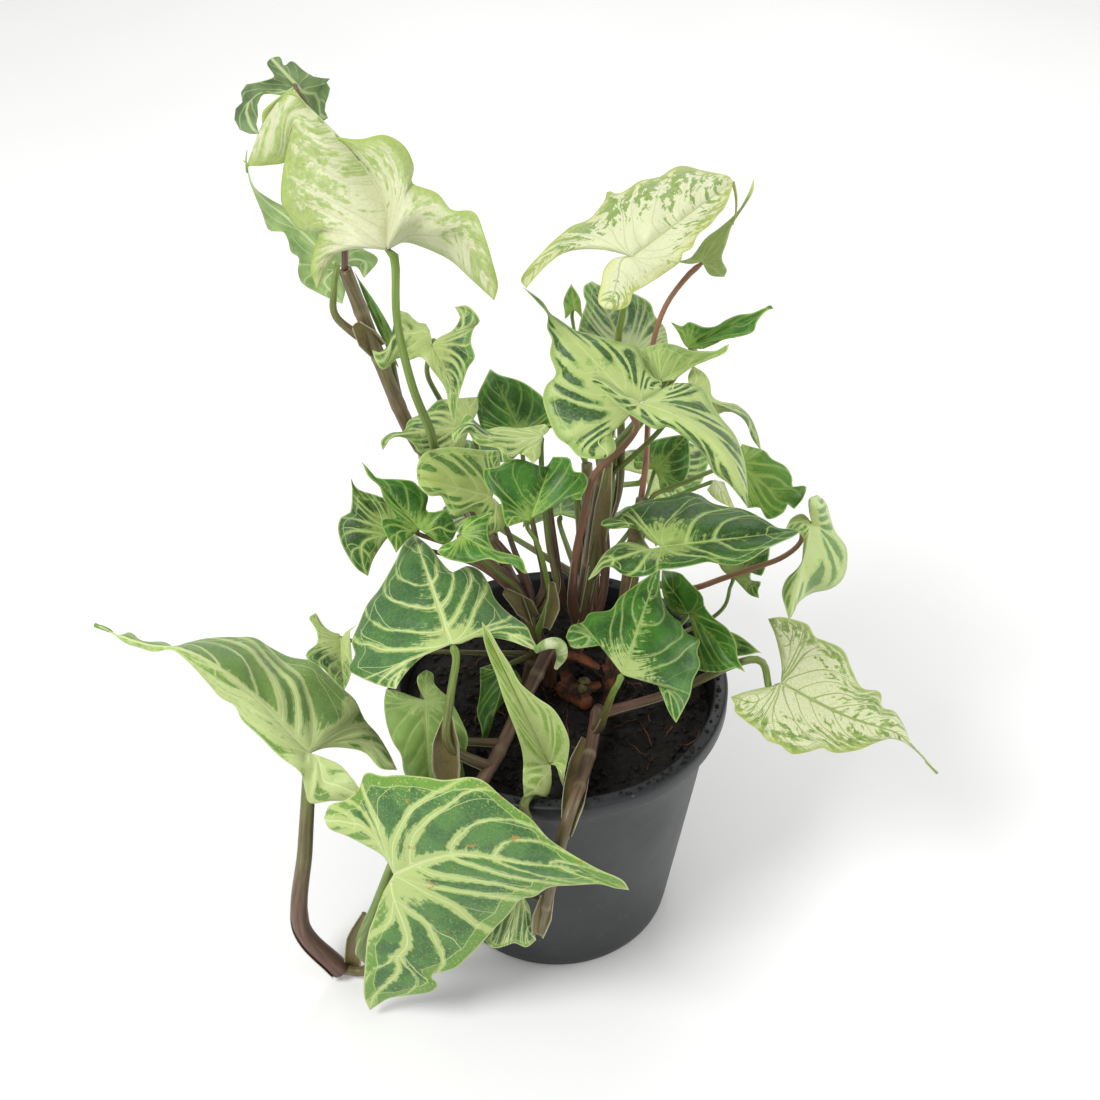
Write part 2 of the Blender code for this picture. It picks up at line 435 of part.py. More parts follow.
        ((758, 435), (752, 420), (745, 411), (735, 404), (722, 402), (712, 396), (710, 383), (704, 373)),
        ((688, 377),),
        ((752, 438), (749, 428), (748, 418), (737, 413), (724, 412)), ((709, 406), (700, 398))),
    "leaf_right_inner_pale": (
        ((729, 495),), (), ((726, 505), (715, 499)), ()),
    "leaf_middle_variegated": (
        ((540, 303), (548, 315), (547, 328), (552, 340), (550, 355), (556, 374), (546, 386), (543, 400),
         (549, 420), (557, 437), (568, 445), (578, 456), (592, 459)),
        ((616, 448), (612, 432), (622, 424), (630, 415)),
        ((542, 301), (550, 313), (560, 320), (575, 330), (590, 334), (612, 340), (634, 345), (640, 352),
         (645, 366), (654, 378), (661, 381)),
        ((652, 396),)),
    "leaf_middle_drooping": (
        ((747, 485), (744, 460), (736, 437), (723, 420), (714, 408), (706, 392), (695, 384)),
        ((660, 390), (650, 397)),
        ((740, 497), (728, 483), (714, 473), (706, 458), (697, 447), (683, 436), (668, 427), (655, 429),
         (640, 421), (620, 407), (605, 393)),
        ((597, 376), (610, 382), (626, 394))),
    "leaf_middle_cup": (
        ((720, 350), (705, 351), (690, 350), (676, 345), (662, 343), (650, 346)), ((643, 365), (652, 377)),
        ((726, 352), (714, 358), (700, 363), (688, 370)), ()),
    "leaf_top_right_green": (
        ((764, 308), (752, 313), (738, 315), (726, 320), (716, 326), (704, 327), (690, 322), (682, 326)),
        ((678, 332), (683, 342)),
        ((764, 313), (757, 322), (753, 332), (738, 337), (725, 339), (715, 344)), ()),
    "leaf_top_behind": (
        ((584, 286), (584, 296), (586, 303), (581, 318), (578, 332)), ((590, 352), (608, 356)),
        ((600, 285), (618, 288), (635, 294), (650, 303), (655, 316), (665, 328)), ((655, 351), (641, 356))),
    "leaf_top_cream": (
        ((728, 176), (715, 173), (700, 170), (690, 167), (680, 166), (670, 170), (660, 177), (640, 181),
         (630, 188), (618, 194), (608, 191), (605, 200), (598, 210), (588, 220), (572, 226), (563, 233),
         (550, 244), (540, 255), (528, 268), (521, 280)),
        ((533, 280), (545, 267), (560, 255), (575, 250), (595, 249), (612, 251), (624, 254)),
        ((731, 192), (725, 207), (718, 215), (710, 225), (698, 235), (692, 248), (683, 253), (680, 262),
         (665, 273), (650, 283), (638, 290), (633, 293), (629, 305), (618, 310)),
        ((598, 301), (601, 285), (604, 270), (612, 260), (623, 257))),
    "leaf_top_narrow": (
        ((748, 194), (738, 211), (722, 226), (706, 238), (697, 250), (690, 258)), ((690, 264),),
        ((753, 192), (742, 210), (732, 226), (727, 242), (722, 258), (727, 270)), ((710, 275),)),
}


def spot(landmark):
    """The place in mm of a landmark: photo pixel x, photo pixel y, depth in mm behind the pot's axis."""
    if isinstance(landmark, Place):
        return np.array(landmark, float)
    x, y, depth = landmark
    side = (x - PHOTO_CENTRE) / PHOTO_LENS
    rise = (PHOTO_CENTRE - y) / PHOTO_LENS
    ray = np.array([side,
                    math.cos(CAMERA_TILT) + rise * math.sin(CAMERA_TILT),
                    rise * math.cos(CAMERA_TILT) - math.sin(CAMERA_TILT)])
    return CAMERA_PLACE + ray * (depth - CAMERA_PLACE[1]) / ray[1]


def unit(vector):
    return vector / np.linalg.norm(vector)


def smooth_curve(points, steps):
    """Points on a smooth curve through the given ones, evenly spaced along it."""
    points = np.array(points, float)
    padded = np.vstack([2 * points[0] - points[1], points, 2 * points[-1] - points[-2]])
    fine = []
    for a, b, c, d in zip(padded, padded[1:], padded[2:], padded[3:]):
        for t in np.linspace(0, 1, CURVE_STEPS, endpoint=False):
            fine.append(0.5 * (2 * b + (c - a) * t + (2 * a - 5 * b + 4 * c - d) * t ** 2
                               + (3 * b - a - 3 * c + d) * t ** 3))
    fine.append(points[-1])
    fine = np.array(fine)
    travelled = np.concatenate([[0], np.cumsum(np.linalg.norm(np.diff(fine, axis=0), axis=1))])
    wanted = np.linspace(0, travelled[-1], steps + 1)
    return np.column_stack([np.interp(wanted, travelled, column) for column in fine.T])


def blade_frame(blade):
    """The stalk's end, the midrib as a vector, and the upward side of the blade as a whole."""
    attach = spot(blade.attach)
    midrib = spot(blade.tip) - attach
    up = unit(np.cross(spot(blade.right) - spot(blade.left), midrib))
    return attach, midrib, up


def margin_place(mark, blade, lobe):
    """The place of a margin's pixel: its own depth, or the depth of the half blade's plane there."""
    if len(mark) == 3:
        return spot(mark)
    corners = np.array([blade.attach, blade.tip, lobe], float)
    shares = np.linalg.solve(np.vstack([corners[:, :2].T, np.ones(3)]), (*mark, 1))
    to_tip, to_lobe = np.clip(shares[1:], -0.6, 1.6)
    depths = corners[:, 2]
    return spot((*mark, depths[0] + to_tip * (depths[1] - depths[0]) + to_lobe * (depths[2] - depths[0])))


def half_margins(blade, right):
    """Half a blade's outer margin from the tip to the lobe and its inner one from the lobe to the stalk."""
    lobe = blade.right if right else blade.left
    if blade.name in MARGINS:
        outer, inner = MARGINS[blade.name][2:] if right else MARGINS[blade.name][:2]
        outer = [margin_place(mark, blade, lobe) for mark in outer]
        inner = [margin_place(mark, blade, lobe) for mark in inner]
    else:
        attach, midrib, _ = blade_frame(blade)
        ahead = unit(midrib)
        reach = spot(lobe) - attach
        side = reach - (reach @ ahead) * ahead
        outer = [attach + across * side + along * midrib for across, along in PLAIN_OUTER]
        inner = [attach + across * side + along * midrib for across, along in PLAIN_INNER]
    ends = [spot(blade.tip)], [spot(lobe)], [spot(blade.attach)]
    return np.array(ends[0] + outer + ends[1]), np.array(ends[1] + inner + ends[2])


def split_margin(outer, attach):
    """The outer margin as evenly spaced points, split where it comes nearest to the stalk's end."""
    fine = smooth_curve(outer, MARGIN_STEPS)
    first, last = SPLIT_BETWEEN
    nearest = first + int(np.argmin(np.linalg.norm(fine[first:last] - attach, axis=1)))
    return np.vstack([smooth_curve(fine[:nearest + 1], RIB_STEPS),
                      smooth_curve(fine[nearest:], LOBE_STEPS)[1:]])


def blade_sheet(blade):
    """The blade's middle surface: points and triangles on cross lines from its midrib to both margins."""
    attach, midrib, up = blade_frame(blade)
    length = np.linalg.norm(midrib)
    seen = not isinstance(blade.attach, Place)
    rib = smooth_curve([spot(mark) for mark in (blade.tip, *blade.rib[::-1], blade.attach)], RIB_STEPS)
    phase = random.Random(blade.name).uniform(0, 2 * math.pi)
    steps = RIB_STEPS + LOBE_STEPS
    points = []
    faces = []

    def add(place, forth, out, width, turn):
        lift = ARCH_PEAK * blade.arch * length * forth ** 2 * (1 - forth)
        lift += BOW_PEAK * blade.bow * width * out * (1 - out)
        lift += blade.wave * out ** 2 * math.cos(phase + 2 * math.pi * WAVES_ROUND * turn)
        way = up
        if seen:
            # Along the photo's line of sight, so that the outline stays where the photo has it
            way = unit(CAMERA_PLACE - place)
            facing = way @ up
            way = way / math.copysign(max(abs(facing), LEAST_FACING), facing)
        points.append(place + lift * way)
        return len(points) - 1

    middle = [add(place, 1 - i / RIB_STEPS, 0, 0, 0) for i, place in enumerate(rib)]
    for right in (False, True):
        outer, inner = half_margins(blade, right)
        outer = split_margin(outer, attach)
        inner = np.vstack([rib, smooth_curve(inner[::-1], LOBE_STEPS)[1:]])
        rows = [[middle[0]] * (ACROSS_STEPS + 1)]
        for i in range(1, steps):
            forth = max(1 - i / RIB_STEPS, 0)
            width = np.linalg.norm(outer[i] - inner[i])
            row = [middle[i] if i <= RIB_STEPS else add(inner[i], forth, 0, width, i / steps)]
            for k in range(1, ACROSS_STEPS + 1):
                out = k / ACROSS_STEPS
                row.append(add(inner[i] + out * (outer[i] - inner[i]), forth, out, width, i / steps))
            rows.append(row)
        rows.append([add(outer[-1], 0, 0, 0, 0)] * (ACROSS_STEPS + 1))
        for here, after in zip(rows, rows[1:]):
            for k in range(ACROSS_STEPS):
                corners = (here[k], after[k], after[k + 1], here[k + 1])
                for triangle in (corners[:3], (corners[0], *corners[2:])):
                    if len(set(triangle)) == 3:
                        faces.append(triangle if right else triangle[::-1])
    return np.array(points), faces


def sheet_normals(points, faces):
    """The unit upward normal of a sheet at each of its points."""
    normals = np.zeros_like(points)
    for a, b, c in faces:
        across = np.cross(points[b] - points[a], points[c] - points[a])
        for corner in (a, b, c):
            normals[corner] += across
    return normals / np.linalg.norm(normals, axis=1)[:, None]


def blade_solid(blade):
    """The middle surface given its thickness, split into the same triangles on both faces."""
    points, faces = blade_sheet(blade)
    normals = sheet_normals(points, faces)
    count = len(points)
    upper = points + normals * BLADE_THICKNESS / 2
    lower = points - normals * BLADE_THICKNESS / 2
    solid = list(faces) + [(a + count, c + count, b + count) for a, b, c in faces]
    edges = {(a, b) for face in faces for a, b in zip(face, face[1:] + face[:1])}
    for a, b in sorted(edges):
        if (b, a) not in edges:
            solid.append((b, a, a + count))
            solid.append((b, a + count, b + count))
    return np.vstack([upper, lower]), solid


def tube(points, radii, sides=STALK_SIDES, flat=1.0):
    """A closed tube along the points, with a cap at each end; a flat one is thinner to and from the photo."""
    points = np.array(points)
    ways = np.gradient(points, axis=0)
    side = unit(np.cross(ways[0], TUBE_START_SIDE))
    vertices = []
    for point, way, radius in zip(points, ways, radii):
        way = unit(way)
        if flat < 1:
            side = np.cross(way, CAMERA_PLACE - point)
        side = unit(side - way * (side @ way))
        other = np.cross(way, side)
        for i in range(sides):
            angle = 2 * math.pi * i / sides
            vertices.append(point + radius * (math.cos(angle) * side + flat * math.sin(angle) * other))
    faces = [tuple(range(sides))[::-1]]
    for ring in range(len(points) - 1):
        start = ring * sides
        for i in range(sides):
            after = (i + 1) % sides
            faces.append((start + i, start + after, start + sides + after, start + sides + i))
    faces.append(tuple(range((len(points) - 1) * sides, len(points) * sides)))
    return np.array(vertices), faces


def stem_line(shoot):
    """The shoot's stem from its end in the soil to its last point."""
    x, y = shoot.foot
    points = [(x, y, SOIL_TOP - ROOT_DEPTH), (x, y, SOIL_TOP - ROOT_DEPTH / 2),
              (x, y, SOIL_TOP + STEM_STRAIGHT_ABOVE_SOIL)]
    points += [spot(landmark) for landmark in shoot.stem]
    length = sum(np.linalg.norm(np.subtract(b, a)) for a, b in zip(points, points[1:]))
    return smooth_curve(points, max(STEM_LEAST_STEPS, round(length / STEM_STEP_LENGTH)))


def stalk_line(blade, stem):
    """The stalk from the stem to just under its blade."""
    start = stem[round(blade.node * (len(stem) - 1))]
    attach, midrib, up = blade_frame(blade)
    square = sheet_normals(*blade_sheet(blade))[RIB_STEPS]
    end = attach - square * (BLADE_THICKNESS / 2 + BLADE_GAP + STALK_END_RADIUS)
    bend = min(STALK_BEND_SHARE * np.linalg.norm(end - start), STALK_BEND_MOST)
    below = end - bend * unit(STALK_BEND_AHEAD * unit(midrib) + up)
    points = [start] + [spot(landmark) for landmark in blade.via] + [below]
    return np.vstack([smooth_curve(points, STALK_STEPS - 1), end])


def stalk_radii(blade):
    """Radii along a stalk: thick in its sheath, thin under its blade, and blunt at its end."""
    size = np.linalg.norm(spot(blade.tip) - spot(blade.attach))
    thin = STALK_LEAST_RADIUS + STALK_RADIUS_SHARE * size
    radii = np.linspace(STALK_FOOT_SHARE * thin, thin, STALK_STEPS + 1)
    radii[-1] = STALK_END_RADIUS
    return radii


def new_object(name, vertices, faces, collection, material=None):
    mesh = bpy.data.meshes.new(name)
    mesh.from_pydata([tuple(MM * float(v) for v in vertex) for vertex in vertices], [], faces)
    mesh.validate()
    made = bpy.data.objects.new(name, mesh)
    if material:
        mesh.materials.append(material)
    collection.objects.link(made)
    return made


def new_material(name, colour, roughness):
    material = bpy.data.materials.new(name)
    material.use_nodes = True
    shader = material.node_tree.nodes["Principled BSDF"]
    shader.inputs["Base Color"].default_value = (*colour, 1)
    shader.inputs["Roughness"].default_value = roughness
    return material


def turned(name, profile, sides, collection, material):
    """A solid of revolution about Z: a Screw modifier on a profile that starts and ends on the axis."""
    edges = [(i, i + 1) for i in range(len(profile) - 1)]
    mesh = bpy.data.meshes.new(name)
    mesh.from_pydata([(MM * radius, 0, MM * height) for radius, height in profile], edges, [])
    mesh.materials.append(material)
    made = bpy.data.objects.new(name, mesh)
    collection.objects.link(made)
    screw = made.modifiers.new("turn", "SCREW")
    screw.steps = sides
    screw.render_steps = sides
    screw.use_merge_vertices = True
    screw.merge_threshold = 0.00001
    screw.use_normal_calculate = True
    return made


def apply_boolean(body, operation, tools, solver="MANIFOLD"):
    """One Boolean of the body with every object of a collection, applied, with those objects removed."""
    change = body.modifiers.new(operation, "BOOLEAN")
    change.operation = operation
    change.operand_type = "COLLECTION"
    change.collection = tools
    change.solver = solver
    bpy.context.view_layer.update()
    graph = bpy.context.evaluated_depsgraph_get()
    result = bpy.data.meshes.new_from_object(body.evaluated_get(graph))
    body.modifiers.clear()
    body.data = result
    for tool in list(tools.objects):
        bpy.data.objects.remove(tool)
    bpy.data.collections.remove(tools)
    return body


def new_tools(name):
    tools = bpy.data.collections.new(name)
    bpy.context.scene.collection.children.link(tools)
    return tools


def new_cutter(name, x, y, radius, bottom, top, collection):
    """An upright cylinder between two heights."""
    shape = bmesh.new()
    bmesh.ops.create_cone(shape, cap_ends=True, segments=CUTTER_SIDES, radius1=MM * radius,
                          radius2=MM * radius, depth=MM * (top - bottom))
    mesh = bpy.data.meshes.new(name)
    shape.to_mesh(mesh)
    shape.free()
    cutter = bpy.data.objects.new(name, mesh)
    cutter.location = MM * x, MM * y, MM * (bottom + top) / 2
    collection.objects.link(cutter)


def pot_wall_radius(height):
    """The pot's outer radius below its rim."""
    return BASE_RADIUS + (SHOULDER_RADIUS - BASE_RADIUS) * height / POT_HEIGHT


def make_pot(collection):
    """Pot: one moulded cup with a flange, a raised floor round its drainage holes, and a flat middle foot."""
    rim_under = POT_HEIGHT - RIM_DROP
    mouth_low = pot_wall_radius(rim_under) - WALL
    profile = [(0, 0), (14, 0), (14.5, FOOT_HEIGHT), (FOOT_RADIUS, FOOT_HEIGHT), (FOOT_RADIUS + 0.6, 0),
               (BASE_RADIUS - 1.5, 0), (BASE_RADIUS, 1.5),
               (pot_wall_radius(rim_under), rim_under), (RIM_RADIUS - 0.4, rim_under + 0.2),
               (RIM_RADIUS, rim_under + 1), (RIM_RADIUS, POT_HEIGHT - 1.4), (RIM_RADIUS - 1, POT_HEIGHT),
               (MOUTH_RADIUS + 0.8, POT_HEIGHT), (MOUTH_RADIUS, POT_HEIGHT - 0.8),
               (MOUTH_RADIUS, POT_HEIGHT - 5), (mouth_low, rim_under - 1),
               (BASE_RADIUS - WALL, FLOOR + 1), (BASE_RADIUS - WALL - 1, FLOOR), (0, FLOOR)]
    pot = turned("pot", profile, POT_SIDES, collection, new_material("pot plastic", (0.02, 0.02, 0.022), 0.5))
    tools = new_tools("drain cutters")
    for i in range(DRAIN_COUNT):
        angle = 2 * math.pi * i / DRAIN_COUNT
        new_cutter(f"drain_{i}", DRAIN_RING * math.cos(angle), DRAIN_RING * math.sin(angle),
                   DRAIN_RADIUS, -1, FLOOR + 2, tools)
    return apply_boolean(pot, "DIFFERENCE", tools, "EXACT")


def make_soil(collection):
    """Soil: a shallow domed plug with a crumbly top and a plain hole for each stem."""
    rough = random.Random(5)
    edge = pot_wall_radius(SOIL_TOP) - WALL - SOIL_TO_WALL
    bottom = SOIL_TOP - SOIL_DEPTH
    low_edge = pot_wall_radius(bottom) - WALL - SOIL_TO_WALL
    vertices = [(0, 0, SOIL_TOP + SOIL_DOME)]
    for ring in range(1, SOIL_RINGS + 1):
        share = ring / SOIL_RINGS
        for i in range(SOIL_SIDES):
            angle = 2 * math.pi * i / SOIL_SIDES
            bump = rough.uniform(-SOIL_ROUGHNESS, SOIL_ROUGHNESS) if ring < SOIL_RINGS else 0
            height = SOIL_TOP + SOIL_DOME * (1 - share ** 2) + bump
            vertices.append((edge * share * math.cos(angle), edge * share * math.sin(angle), height))
    for i in range(SOIL_SIDES):
        angle = 2 * math.pi * i / SOIL_SIDES
        vertices.append((low_edge * math.cos(angle), low_edge * math.sin(angle), bottom))
    faces = [(0, 1 + i, 1 + (i + 1) % SOIL_SIDES) for i in range(SOIL_SIDES)]
    for ring in range(SOIL_RINGS):
        start = 1 + ring * SOIL_SIDES
        for i in range(SOIL_SIDES):
            after = (i + 1) % SOIL_SIDES
            faces.append((start + i, start + SOIL_SIDES + i, start + SOIL_SIDES + after))
            faces.append((start + i, start + SOIL_SIDES + after, start + after))
    last = 1 + SOIL_RINGS * SOIL_SIDES
    faces.append(tuple(range(last, last + SOIL_SIDES))[::-1])
    soil = new_object("soil", vertices, faces, collection, new_material("soil", (0.02, 0.015, 0.012), 0.95))
    tools = new_tools("stem hole cutters")
    for shoot in SHOOTS:
        new_cutter(f"hole_{shoot.name}", *shoot.foot, shoot.radius * STEM_SWELL + HOLE_CLEARANCE,
                   SOIL_TOP - ROOT_DEPTH - STEM_GAP, SOIL_TOP + HOLE_ABOVE_SOIL, tools)
    return apply_boolean(soil, "DIFFERENCE", tools, "EXACT")


def make_shoot(shoot, collection, material):
    """Shoot: its stem with all its leaf stalks and sheaths, joined into one body."""
    stem = stem_line(shoot)
    radii = np.linspace(shoot.radius, STEM_TOP_SHARE * shoot.radius, len(stem))
    body = new_object(shoot.name, *tube(stem, radii, STEM_SIDES), collection, material)
    tools = new_tools(f"{shoot.name} stalks")
    for blade in BLADES:
        if blade.shoot == shoot.name:
            new_object(f"stalk_{blade.name}", *tube(stalk_line(blade, stem), stalk_radii(blade)), tools)
    for sheath in SHEATHS:
        if sheath.shoot == shoot.name:
            line = smooth_curve([spot(mark) for mark in sheath.line], SHEATH_STEPS)
            shares = np.linspace(0, 1, len(sheath.half_widths))
            widths = np.interp(np.linspace(0, 1, SHEATH_STEPS + 1), shares, sheath.half_widths)
            new_object(f"sheath_{sheath.name}", *tube(line, widths, SHEATH_SIDES, SHEATH_FLATNESS), tools)
    for stalk in OLD_STALKS:
        if stalk.shoot == shoot.name:
            line = smooth_curve([spot(mark) for mark in stalk.line], OLD_STALK_STEPS)
            widths = np.linspace(stalk.radius, OLD_STALK_TOP_SHARE * stalk.radius, len(line))
            new_object(f"stalk_{stalk.name}", *tube(line, widths), tools)
    if not tools.objects:
        bpy.data.collections.remove(tools)
        return body
    return apply_boolean(body, "UNION", tools)


def main():
    for old in list(bpy.data.objects):
        bpy.data.objects.remove(old)
    plant = bpy.data.collections.new("arrowhead_plant")
    bpy.context.scene.collection.children.link(plant)
    make_pot(plant)
    make_soil(plant)
    stem_material = new_material("stem", (0.10, 0.07, 0.04), 0.6)
    for shoot in SHOOTS:
        make_shoot(shoot, plant, stem_material)
    blade_materials = {look: new_material(f"leaf {look}", colour, 0.5) for look, colour in LOOKS.items()}
    for blade in BLADES:
        new_object(blade.name, *blade_solid(blade), plant, blade_materials[blade.look])


main()
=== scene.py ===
"""The looks of the potted arrowhead plant: fine blades, stalks and sheaths, pot, soil, light and camera.

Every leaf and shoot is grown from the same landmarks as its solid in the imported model, with finer cross
lines, so it keeps that form. Lengths are in millimetres and are turned into metres where a mesh is made.
Each blade carries its vein pattern as flat measures on its points, such as the distance to the midrib and
the number of the side vein, and its materials draw sharp veins, nets and speckles from them.
"""

import math
import random
from collections import namedtuple

import bpy
import numpy as np
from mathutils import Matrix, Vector


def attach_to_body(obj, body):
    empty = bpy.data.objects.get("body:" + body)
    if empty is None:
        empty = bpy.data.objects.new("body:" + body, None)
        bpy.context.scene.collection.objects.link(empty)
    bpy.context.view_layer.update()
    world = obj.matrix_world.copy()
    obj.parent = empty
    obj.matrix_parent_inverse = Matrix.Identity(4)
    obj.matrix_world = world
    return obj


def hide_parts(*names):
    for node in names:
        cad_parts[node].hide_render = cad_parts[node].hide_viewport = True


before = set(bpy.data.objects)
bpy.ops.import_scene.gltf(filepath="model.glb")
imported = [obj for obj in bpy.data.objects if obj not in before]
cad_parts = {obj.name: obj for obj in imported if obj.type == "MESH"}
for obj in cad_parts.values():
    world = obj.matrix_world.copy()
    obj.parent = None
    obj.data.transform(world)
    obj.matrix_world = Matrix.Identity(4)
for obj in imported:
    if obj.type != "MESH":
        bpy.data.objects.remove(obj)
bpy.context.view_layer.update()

MM = 0.001

# The photo's camera, which turns a landmark into a place
CAMERA_PLACE = np.array([-2.9, -499.7, 611.0])
CAMERA_TILT = math.radians(39.8)
PHOTO_CENTRE = 550
PHOTO_LENS = 1693
SENSOR_WIDTH = 36

# Room: the floor's width and what the lamps face in metres, and how bright the white surroundings are
FLOOR_WIDTH = 8.0
PLANT_MIDDLE = 0, 0, 0.2
ROOM_LIGHT = 0.62

# Pot: a 14 cm nursery pot with a flat flange round its mouth
POT_HEIGHT = 125
RIM_RADIUS = 70
RIM_DROP = 8
MOUTH_RADIUS = 64
SHOULDER_RADIUS = 66
BASE_RADIUS = 49.5
WALL = 1.6
POT_SIDES = 144

# Soil: its surface, the small waves on it, and what lies on it
SOIL_TOP = 114
SOIL_DOME = 3
SOIL_GAP = 0.3
SOIL_SIDES = 150
SOIL_RINGS = 60
SKIRT_DEPTH = 30
ROOT_DEPTH = 24
WAVE_COUNT = 40
WAVE_RATES = 0.25, 2.6
CRUMB_COUNT = 900
RIM_CRUMB_COUNT = 110
FIBRE_COUNT = 75
FIBRE_PLACES = 6
FIBRE_STEPS = 14
FIBRE_SIDES = 6

# Half of an arrowhead leaf that the photo doesn't show, flat: shares of its lobe's reach to the side and of
# its midrib along, from the tip round the shoulder, and from the lobe back to the stalk
PLAIN_OUTER = ((0.10, 0.90), (0.42, 0.74), (0.84, 0.48), (1.0, 0.26), (0.96, 0.05))
PLAIN_INNER = ((0.66, -0.22), (0.30, -0.08))

# A leaf: the share of its stem where its stalk starts, points on the stalk, the landmarks of its stalk end,
# midrib, tip and two lobes, the rise along and across it, its waves in mm, its look
Blade = namedtuple("Blade", "name shoot node via attach rib tip left right arch bow wave look")
Place = namedtuple("Place", "x y z")
Shoot = namedtuple("Shoot", "name foot stem radius")
# A broad sheath at the foot of a stalk: points along it, its half widths in mm
Sheath = namedtuple("Sheath", "name shoot line half_widths")
OldStalk = namedtuple("OldStalk", "name shoot line radius")

SHOOTS = (
    Shoot("shoot_vine", (-4, 16), ((500, 560, 20), (440, 470, 25), (405, 420, 26), (345, 270, 28)), 3.4),
    Shoot("shoot_left", (-12, 6), ((536, 645, 6), (530, 614, 6)), 3.2),
    Shoot("shoot_centre", (7, 20), ((583, 600, 18), (596, 520, 18), (606, 455, 16)), 3.4),
    Shoot("shoot_right", (22, 8), ((625, 600, 10), (642, 500, 8)), 3.2),
    Shoot("shoot_front", (17, -13), ((597, 715, -23), (590, 752, -40), (580, 785, -60), (572, 806, -72),
                                     (563, 835, -79), (552, 880, -81), (542, 930, -79)), 2.8),
    Shoot("shoot_trailing", (-3, 6), ((549, 652, 0), (537, 674, -8), (518, 712, -24), (500, 750, -44),
                                      (478, 789, -65), (454, 835, -66), (420, 900, -62), (372, 966, -56),
                                      (340, 969, -55)), 2.9),
    Shoot("shoot_back", (13, 36), (Place(13, 40, 165), Place(12, 48, 200)), 3.0),
    Shoot("stem_stub", (11, 3), (Place(11.3, 0, 122), Place(11.6, -5, 125)), 3.9),
)

